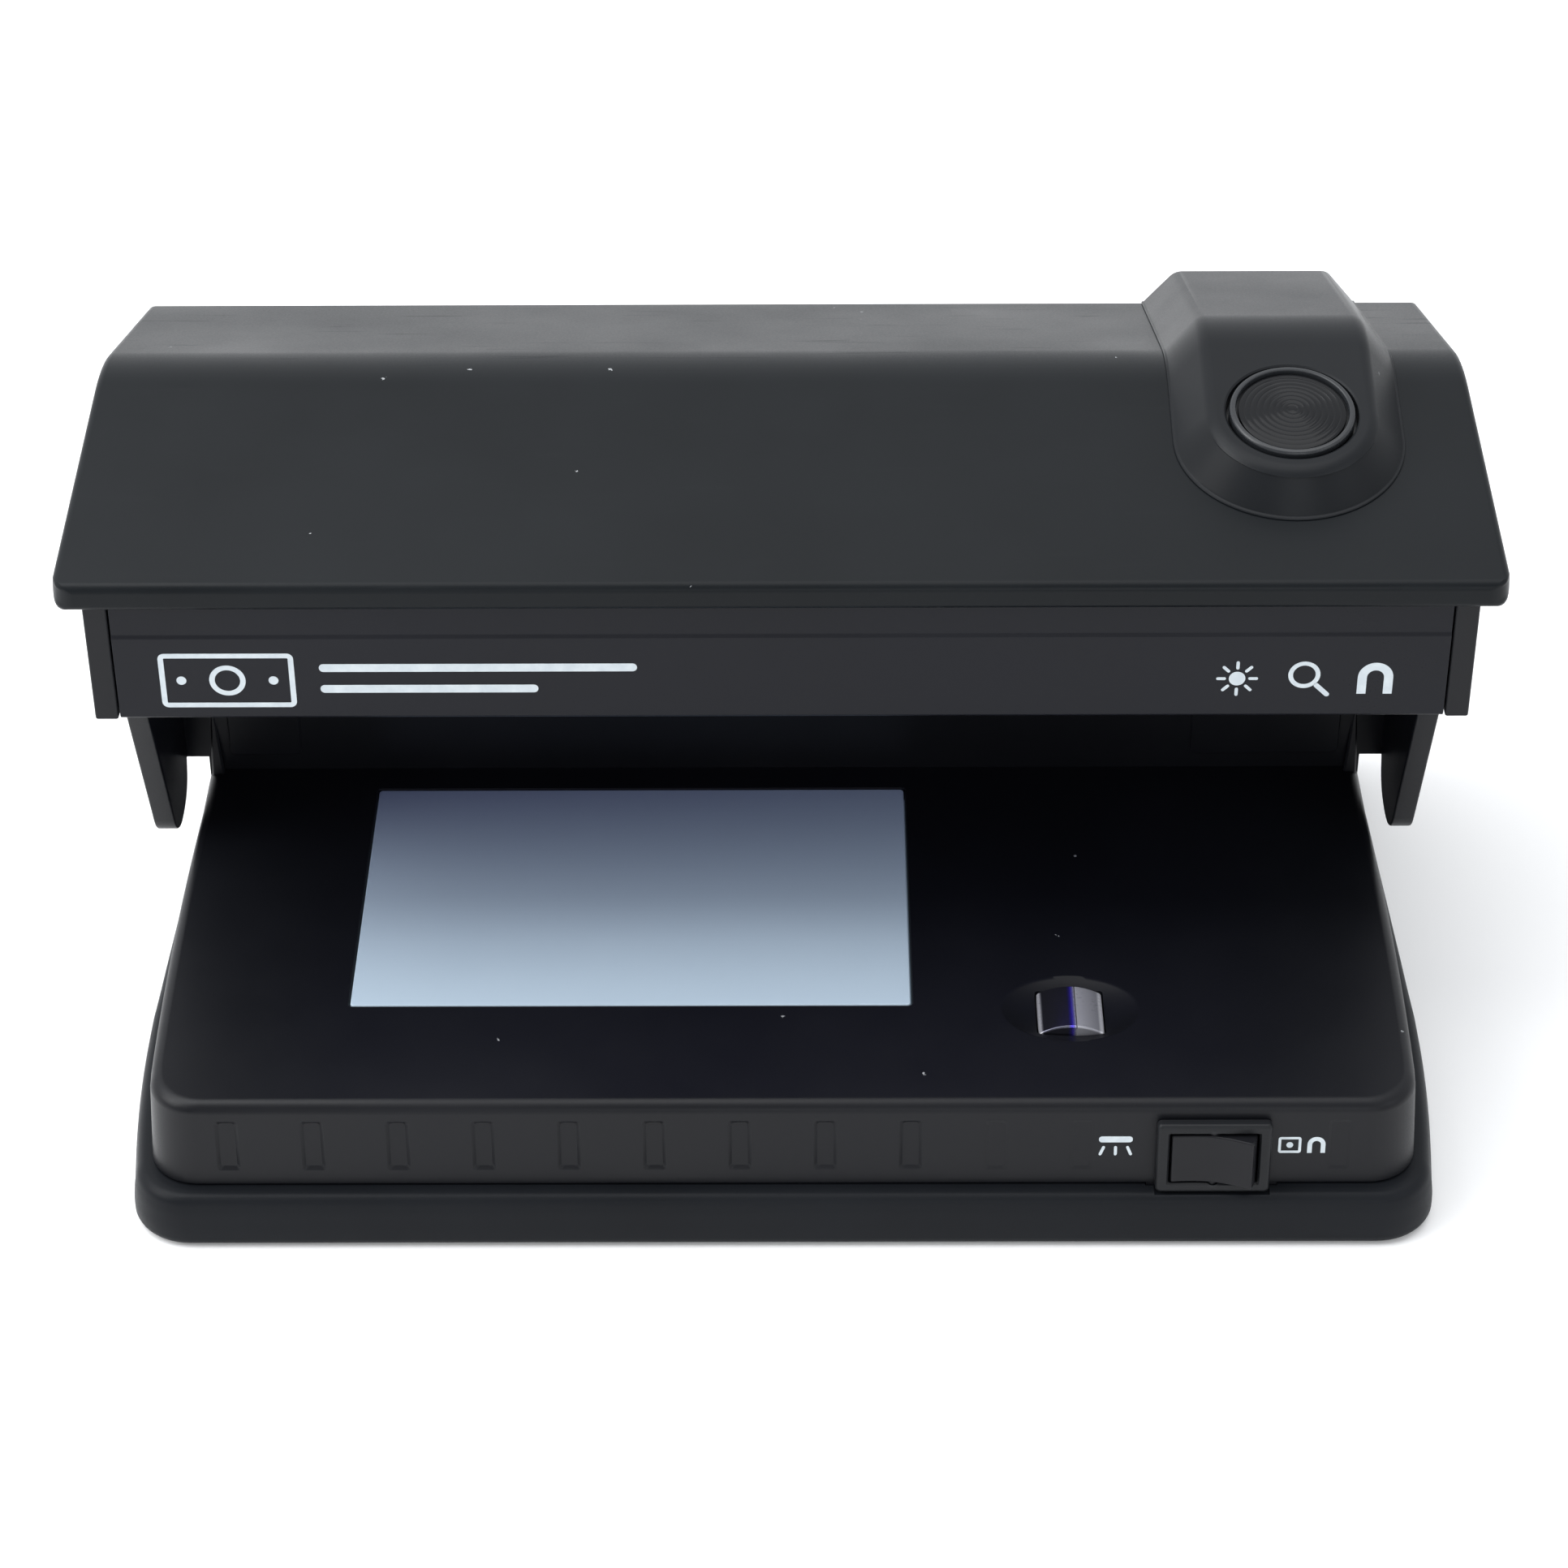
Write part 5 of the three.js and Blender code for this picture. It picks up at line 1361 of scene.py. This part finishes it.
def make_legends():
    # left of the switch: a lamp tube with rays
    parts = [filled(rrect(58.0, 64.2, 20.6, 21.9, 0.6, 5), on_face)]
    for top_x, foot_x in ((58.9, 58.3), (61.1, 61.1), (63.3, 63.9)):
        parts.append(filled(stroke((top_x, 19.5), (foot_x, 18.0), 0.55), on_face))
    legend(parts, "legend_lamp", "shell_plastic")
    # right of the switch: a lit window and a magnet
    parts = [hollow_rect(90.9, 95.1, 18.2, 21.7, 0.5, 0.5, on_face),
             filled(ring(0.62, 28, 93.0, 19.95), on_face),
             filled(magnet(97.9, 20.05, 1.65, 0.80, 18.2, 15), on_face)]
    legend(parts, "legend_window_magnet", "shell_plastic")

    # fascia, left: a generic banknote and two plain lines
    note_x, note_z = -100.25, 94.5
    parts = [hollow_rect(-112.5, -88.0, 88.6, 100.4, 1.2, 1.0, on_fascia),
             hollow(ring(3.3, 40, note_x, note_z), ring(2.3, 40, note_x, note_z), on_fascia),
             filled(ring(0.9, 28, -108.6, note_z), on_fascia),
             filled(ring(0.9, 28, -91.9, note_z), on_fascia)]
    for i, right in enumerate((-26.0, -44.0)):
        z = 97.2 - i * 4.6
        parts.append(filled(rrect(-83.5, right, z - 0.85, z + 0.85, 0.8, 5), on_fascia))
    legend(parts, "mark_banknote", "fascia_plastic")

    # fascia, right: a sun, a magnifier and a magnet
    sun_x, sun_z = 82.5, 94.4
    parts = [filled(ring(1.5, 28, sun_x, sun_z), on_fascia)]
    for k in range(8):
        turn = k * pi / 4
        start, end = [(sun_x + reach * cos(turn), sun_z + reach * sin(turn))
                      for reach in (2.3, 3.5)]
        parts.append(filled(stroke(start, end, 0.6), on_fascia))
    parts.append(hollow(ring(2.9, 36, 94.6, 95.2), ring(2.05, 36, 94.6, 95.2), on_fascia))
    parts.append(filled(stroke((96.9, 92.9), (98.9, 90.9), 0.95), on_fascia))
    parts.append(filled(magnet(107.5, 94.6, 3.2, 1.55, 91.0, 21), on_fascia))
    legend(parts, "mark_functions", "fascia_plastic")


# =================================================================== screws
def thread(start, end, root, crest):
    """Profile points of a thread, one turn each 0.8 mm."""
    profile = []
    z = start
    while z < end:
        profile += [(root, z), (crest, z + 0.3), (root, z + 0.6)]
        z += 0.8
    return profile


def cut_cross(screw, reach, half_width, low, high):
    cut(screw, box(-reach, reach, -half_width, half_width, low, high))
    cut(screw, box(-half_width, half_width, -reach, reach, low, high))


def rear_screw():
    """Cross-recessed pan-head screw, head up."""
    screw = lathe([(0, 0), (0.6, 0), (1.15, 0.9)] + thread(1.2, 11.0, 1.12, 1.45)
                  + [(1.3, 12.0), (2.75, 12.0), (2.9, 12.25), (2.86, 12.9), (2.55, 13.6),
                     (1.9, 14.05), (1.0, 14.2), (0, 14.22)], 40)
    cut_cross(screw, 1.5, 0.3, 13.1, 15)
    return screw


def base_screw():
    """Cross-recessed screw, head down."""
    screw = lathe([(0, 3.0), (1.6, 3.0), (2.3, 3.15), (2.75, 3.6), (2.8, 3.9), (2.8, 5.1),
                   (1.3, 5.1)] + thread(5.5, 15.4, 1.1, 1.4) + [(1.0, 16.2), (0, 17.0)], 36)
    cut_cross(screw, 1.4, 0.28, 2.0, 4.1)
    return screw


# ================================================================ back side
def make_rear_panel():
    def outer_edges(start, end, angle):
        return angle > 1.0 and abs(start.y - end.y) < 1e-3 and start.y > 76

    panel = prism("y", rrect(-122.4, 122.4, 36.3, 103.35, 1.2, 5), 74.75, COLUMN_BACK)
    bevel(panel, 0.4, 3, outer_edges)
    cutters = []
    for x in (-62, 0):                         # two stacks of vents
        for i in range(7):
            z = 66 + i * 5
            cutters.append(prism("y", rrect(x - 24, x + 24, z, z + 2.4, 1.15, 6), 70, 80))
    cut(panel, *cutters)
    cut(panel, prism("y", rrect(76.2, 103.8, 45.2, 62.8, 0.8), 70, 80),
        rod("y", 6.2, 70, 80, (FUSE_X, SOCKET_Z), 48),
        *[rod("y", 1.75, 70, 80, (x, REAR_SCREW_Z), 28) for x in REAR_SCREW_XS])
    piece(panel, "rear_panel_plate", "rear_panel", "shell_plastic")


def make_inlet():
    """Mains inlet: flanged moulding with a figure-eight mouth."""
    inlet = prism("y", rrect(76.5, 103.5, 45.5, 62.5, 0.8), 58, 77.6)
    # y, inset
    stations = [(77.2, 0), (78.4, 0), (78.85, 0.2), (79.0, 0.6)]
    unite(inlet, loft([layer("y", rrect(74.5, 105.5, 43.5, 64.5, 1.6, 6, -inset), y)
                       for y, inset in stations]))
    lobe = 4.2                                 # radius and offset of each lobe

    def mouth(y, grow=0.0):
        return [(INLET_X + side * lobe + (lobe + grow) * cos(turn), y,
                 SOCKET_Z + (lobe + grow) * sin(turn))
                for side, start in ((1, -pi / 2), (-1, pi / 2))
                for turn in (start + i / 16 * pi for i in range(17))]

    cut(inlet, loft([mouth(63.5), mouth(78.7), mouth(79.1, 0.35), mouth(82, 0.35)]))
    piece(inlet, "inlet_socket", "power_inlet", "black_plastic")


def make_fuse():
    holder = lathe([(4.0, 0), (6.0, 0), (6.0, 25.4), (7.6, 25.4), (7.6, 26.5), (7.2, 27.0),
                    (4.2, 27.0), (4.0, 26.8)], 64, True)
    piece(laid(holder, "y", FUSE_X, 51.8, SOCKET_Z), "fuse_holder_body", "fuse_holder",
          "black_plastic")
    cap = lathe([(0, 0), (3.7, 0), (3.7, 18.6), (5.6, 18.6), (5.55, 20.1), (5.1, 20.5),
                 (0, 20.5)], 64)
    cut(cap, box(-3.6, 3.6, -0.55, 0.55, 19.4, 21))
    piece(laid(cap, "y", FUSE_X, 60.3, SOCKET_Z), "fuse_cap_knob", "fuse_cap", "black_plastic")


def make_back():
    make_rear_panel()
    for side, x in zip(("left", "right"), REAR_SCREW_XS):
        piece(laid(rear_screw(), "y", x, 65.1, REAR_SCREW_Z), "rear_screw_" + side[0],
              "rear_screw_" + side, "screw_steel", sharp=35)
    make_inlet()
    make_fuse()


# ========================================================= feet and lamps
def make_bottom():
    for (x, y), corner in zip(FEET, CORNERS):
        foot = lathe([(0, 0.25), (3.2, 0.22), (4.9, 0.0), (5.5, 0.06), (5.95, 0.35), (6.2, 0.9),
                      (6.4, 3.1), (0, 3.1)], 56)
        piece(shifted(foot, x, y), "rubber_foot_" + corner, "foot_" + corner, "foot_rubber",
              sharp=40)
    for (x, y), corner in zip(SCREWS, CORNERS):
        piece(shifted(base_screw(), x, y), "tray_screw_" + corner, "base_screw_" + corner,
              "screw_steel", sharp=35)


def lamp_cap():
    """End cap with two pins along +Z."""
    cap = lathe([(0, 0.05), (8.0, 0.05), (8.0, 0.5), (7.88, 0.7), (7.88, 1.5), (8.0, 1.7),
                 (8.0, 5.0), (7.8, 5.55), (7.2, 6.2), (0, 6.2)], 56)
    for y in (-2.38, 2.38):
        pin = lathe([(0, 5.9), (1.18, 5.9), (1.18, 12.6), (0.95, 13.05), (0.5, 13.2),
                     (0, 13.2)], 20)
        unite(cap, shifted(pin, 0, y))
    return cap


def make_lamps():
    for lamp, glass in (("uv_lamp_front", "uv_glass"), ("uv_lamp_rear", "uv_glass"),
                        ("backlight_lamp", "white_glass")):
        low, high = cad_box(lamp + "_glass")
        x, y, z = [(low[k] + high[k]) / 2 for k in range(3)]
        half = (high.x - low.x) / 2
        radius = (high.z - low.z) / 2
        tube = lathe([(radius - 0.8, -half), (radius, -half), (radius, half),
                      (radius - 0.8, half)], 64, True)
        piece(laid(tube, "x", x, y, z), lamp + "_tube", lamp + "_glass", glass, body=lamp,
              sharp=40)
        for side, sign in (("left", -1), ("right", 1)):
            cap = lamp_cap()
            if sign < 0:
                moved(cap, Matrix.Rotation(pi, 4, "X"))
            piece(laid(cap, "x", x + sign * half, y, z), f"{lamp}_end_{side}",
                  f"{lamp}_cap_{side}", "lamp_alu", body=lamp, sharp=35)


make_tray()
make_body()
make_cover()
make_pod()
make_lens()
make_fascia()
make_window()
make_head()
make_surround()
make_rocker()
make_legends()
make_back()
make_bottom()
make_lamps()

# ------------------------------------------------- CAD nodes that stay as they are
# slot: the nodes that take it
KEPT_NODES = {
    "lamp_alu": "lamp_reflector",
    "white_plastic": "backlight_reflector uv_holder_front_left uv_holder_front_right "
                     "uv_holder_rear_left uv_holder_rear_right backlight_holder_left "
                     "backlight_holder_right",
    "black_plastic": "head_carrier buzzer",
    "brass_metal": "head_spring inlet_pin_left inlet_pin_right switch_terminal_1 "
                   "switch_terminal_2 switch_terminal_3",
    "pcb_board": "main_pcb",
    "can_sleeve": "capacitor",
    "core_steel": "uv_ballast_core backlight_ballast_core",
    "coil_winding": "uv_ballast_coil backlight_ballast_coil",
    "wire_jacket": "lamp_harness",
    "wire_grey": "switch_harness",
}
SLOTS = {name: slot for slot, names in KEPT_NODES.items() for name in names.split()}


def dress(name, obj):
    """Gives a kept CAD node its material and softened edges."""
    slot = SLOTS[name]
    for material_slot in obj.material_slots:
        material_slot.material = MATERIALS[slot]
    if not obj.material_slots:
        obj.data.materials.append(MATERIALS[slot])
    weld = obj.modifiers.new("weld", "WELD")
    weld.merge_threshold = 1e-6
    if name not in ("lamp_harness", "switch_harness"):
        soften = obj.modifiers.new("soften", "BEVEL")
        soften.limit_method = "ANGLE"
        soften.angle_limit = radians(35)
        soften.width = 0.0003
        soften.segments = 2
        soften.use_clamp_overlap = True
        soften.harden_normals = False
    normals = obj.modifiers.new("normals", "WEIGHTED_NORMAL")
    normals.keep_sharp = False


for node_name, node_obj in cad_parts.items():
    if not node_obj.hide_render:
        dress(node_name, node_obj)


# --------------------------------------------------------- floor, light, camera
def make_stage():
    shader = Shader("stage_floor")
    tone = shader.mix(shader.noise(scale=3, detail=2), low=(0.92, 0.92, 0.92),
                      high=(0.93, 0.93, 0.93), over=(0.3, 0.7))
    shader.finish(base=tone, rough=0.9, spec=0.1, emission=(1, 1, 1), glow=0.10)
    half = 6.0
    mesh = bpy.data.meshes.new("stage_floor")
    corners = [(-half, -half, 0), (half, -half, 0), (half, half, 0), (-half, half, 0)]
    mesh.from_pydata(corners, [], [(0, 1, 2, 3)])
    mesh.materials.append(MATERIALS["stage_floor"])
    link_new("stage_floor", mesh)


def make_world():
    world = bpy.data.worlds.new("studio")
    scene.world = world
    world.use_nodes = True
    studio = Graph(world.node_tree)
    background = next(node for node in studio.tree.nodes if node.type == "BACKGROUND")
    studio.fill(background.inputs[0], (0.98, 1.0, 1.03))
    direction = studio.add("TexCoord", output="Generated")
    split = studio.add("SeparateXYZ", {0: direction}).node.outputs
    # bright sweep behind, darker room behind the camera
    sweep = studio.remap(split["Y"], over=(-0.85, 0.10), to=(0.38, 1.05))
    # and a little brighter on the left
    tilt = studio.remap(split["X"], over=(-1.0, 1.0), to=(1.22, 0.84))
    studio.fill(background.inputs[1], studio.times(sweep, tilt))


# name, place, target, size, power, colour
LIGHTS = [
    ("key_left", (-1.3, -0.35, 1.05), (0, 0, 0.06), (0.9, 0.9), 9, (1.0, 0.99, 0.98)),
    ("near_left", (-0.50, 0.02, 0.80), (-0.05, 0, 0.06), (0.6, 0.6), 3.2, (0.97, 1.0, 1.02)),
    ("soft_top", (0, 0.1, 2.0), (0, 0, 0), (1.6, 1.6), 14, (1.0, 1.0, 1.0)),
    ("front_low", (0.35, -2.0, 0.74), (0.05, 0, 0.08), (1.0, 0.45), 4.5, (0.95, 0.98, 1.0)),
    ("fill_right", (1.3, -0.9, 0.9), (0, 0, 0.06), (0.8, 0.8), 3, (0.93, 0.97, 1.0)),
]


def make_light(name, place, target, size, power, colour):
    light = bpy.data.lights.new(name, "AREA")
    light.shape = "RECTANGLE"
    light.size, light.size_y = size
    light.energy = power
    light.color = colour
    aim = Vector(target) - Vector(place)
    obj = bpy.data.objects.new(name, light)
    obj.location = place
    obj.rotation_euler = aim.to_track_quat("-Z", "Y").to_euler()
    scene.collection.objects.link(obj)


def make_camera():
    pitch = radians(36.45)      # downwards
    yaw = radians(-0.37)
    roll = radians(-0.35)
    forward = Vector((sin(yaw) * cos(pitch), cos(yaw) * cos(pitch), -sin(pitch)))
    level = forward.cross(Vector((0, 0, 1))).normalized()
    upright = level.cross(forward)
    right = level * cos(roll) + upright * sin(roll)
    up = -level * sin(roll) + upright * cos(roll)
    data = bpy.data.cameras.new("camera")
    data.sensor_width = 36
    data.lens = 93.54968944
    data.clip_start = 0.05
    data.clip_end = 30
    camera = link_new("camera", data)
    matrix = Matrix((right, up, -forward)).transposed().to_4x4()
    matrix.translation = Vector((0.00433, -0.63541, 0.51734))
    camera.matrix_world = matrix
    scene.camera = camera


make_stage()
make_world()
for entry in LIGHTS:
    make_light(*entry)
make_camera()
scene.view_settings.view_transform = "Standard"
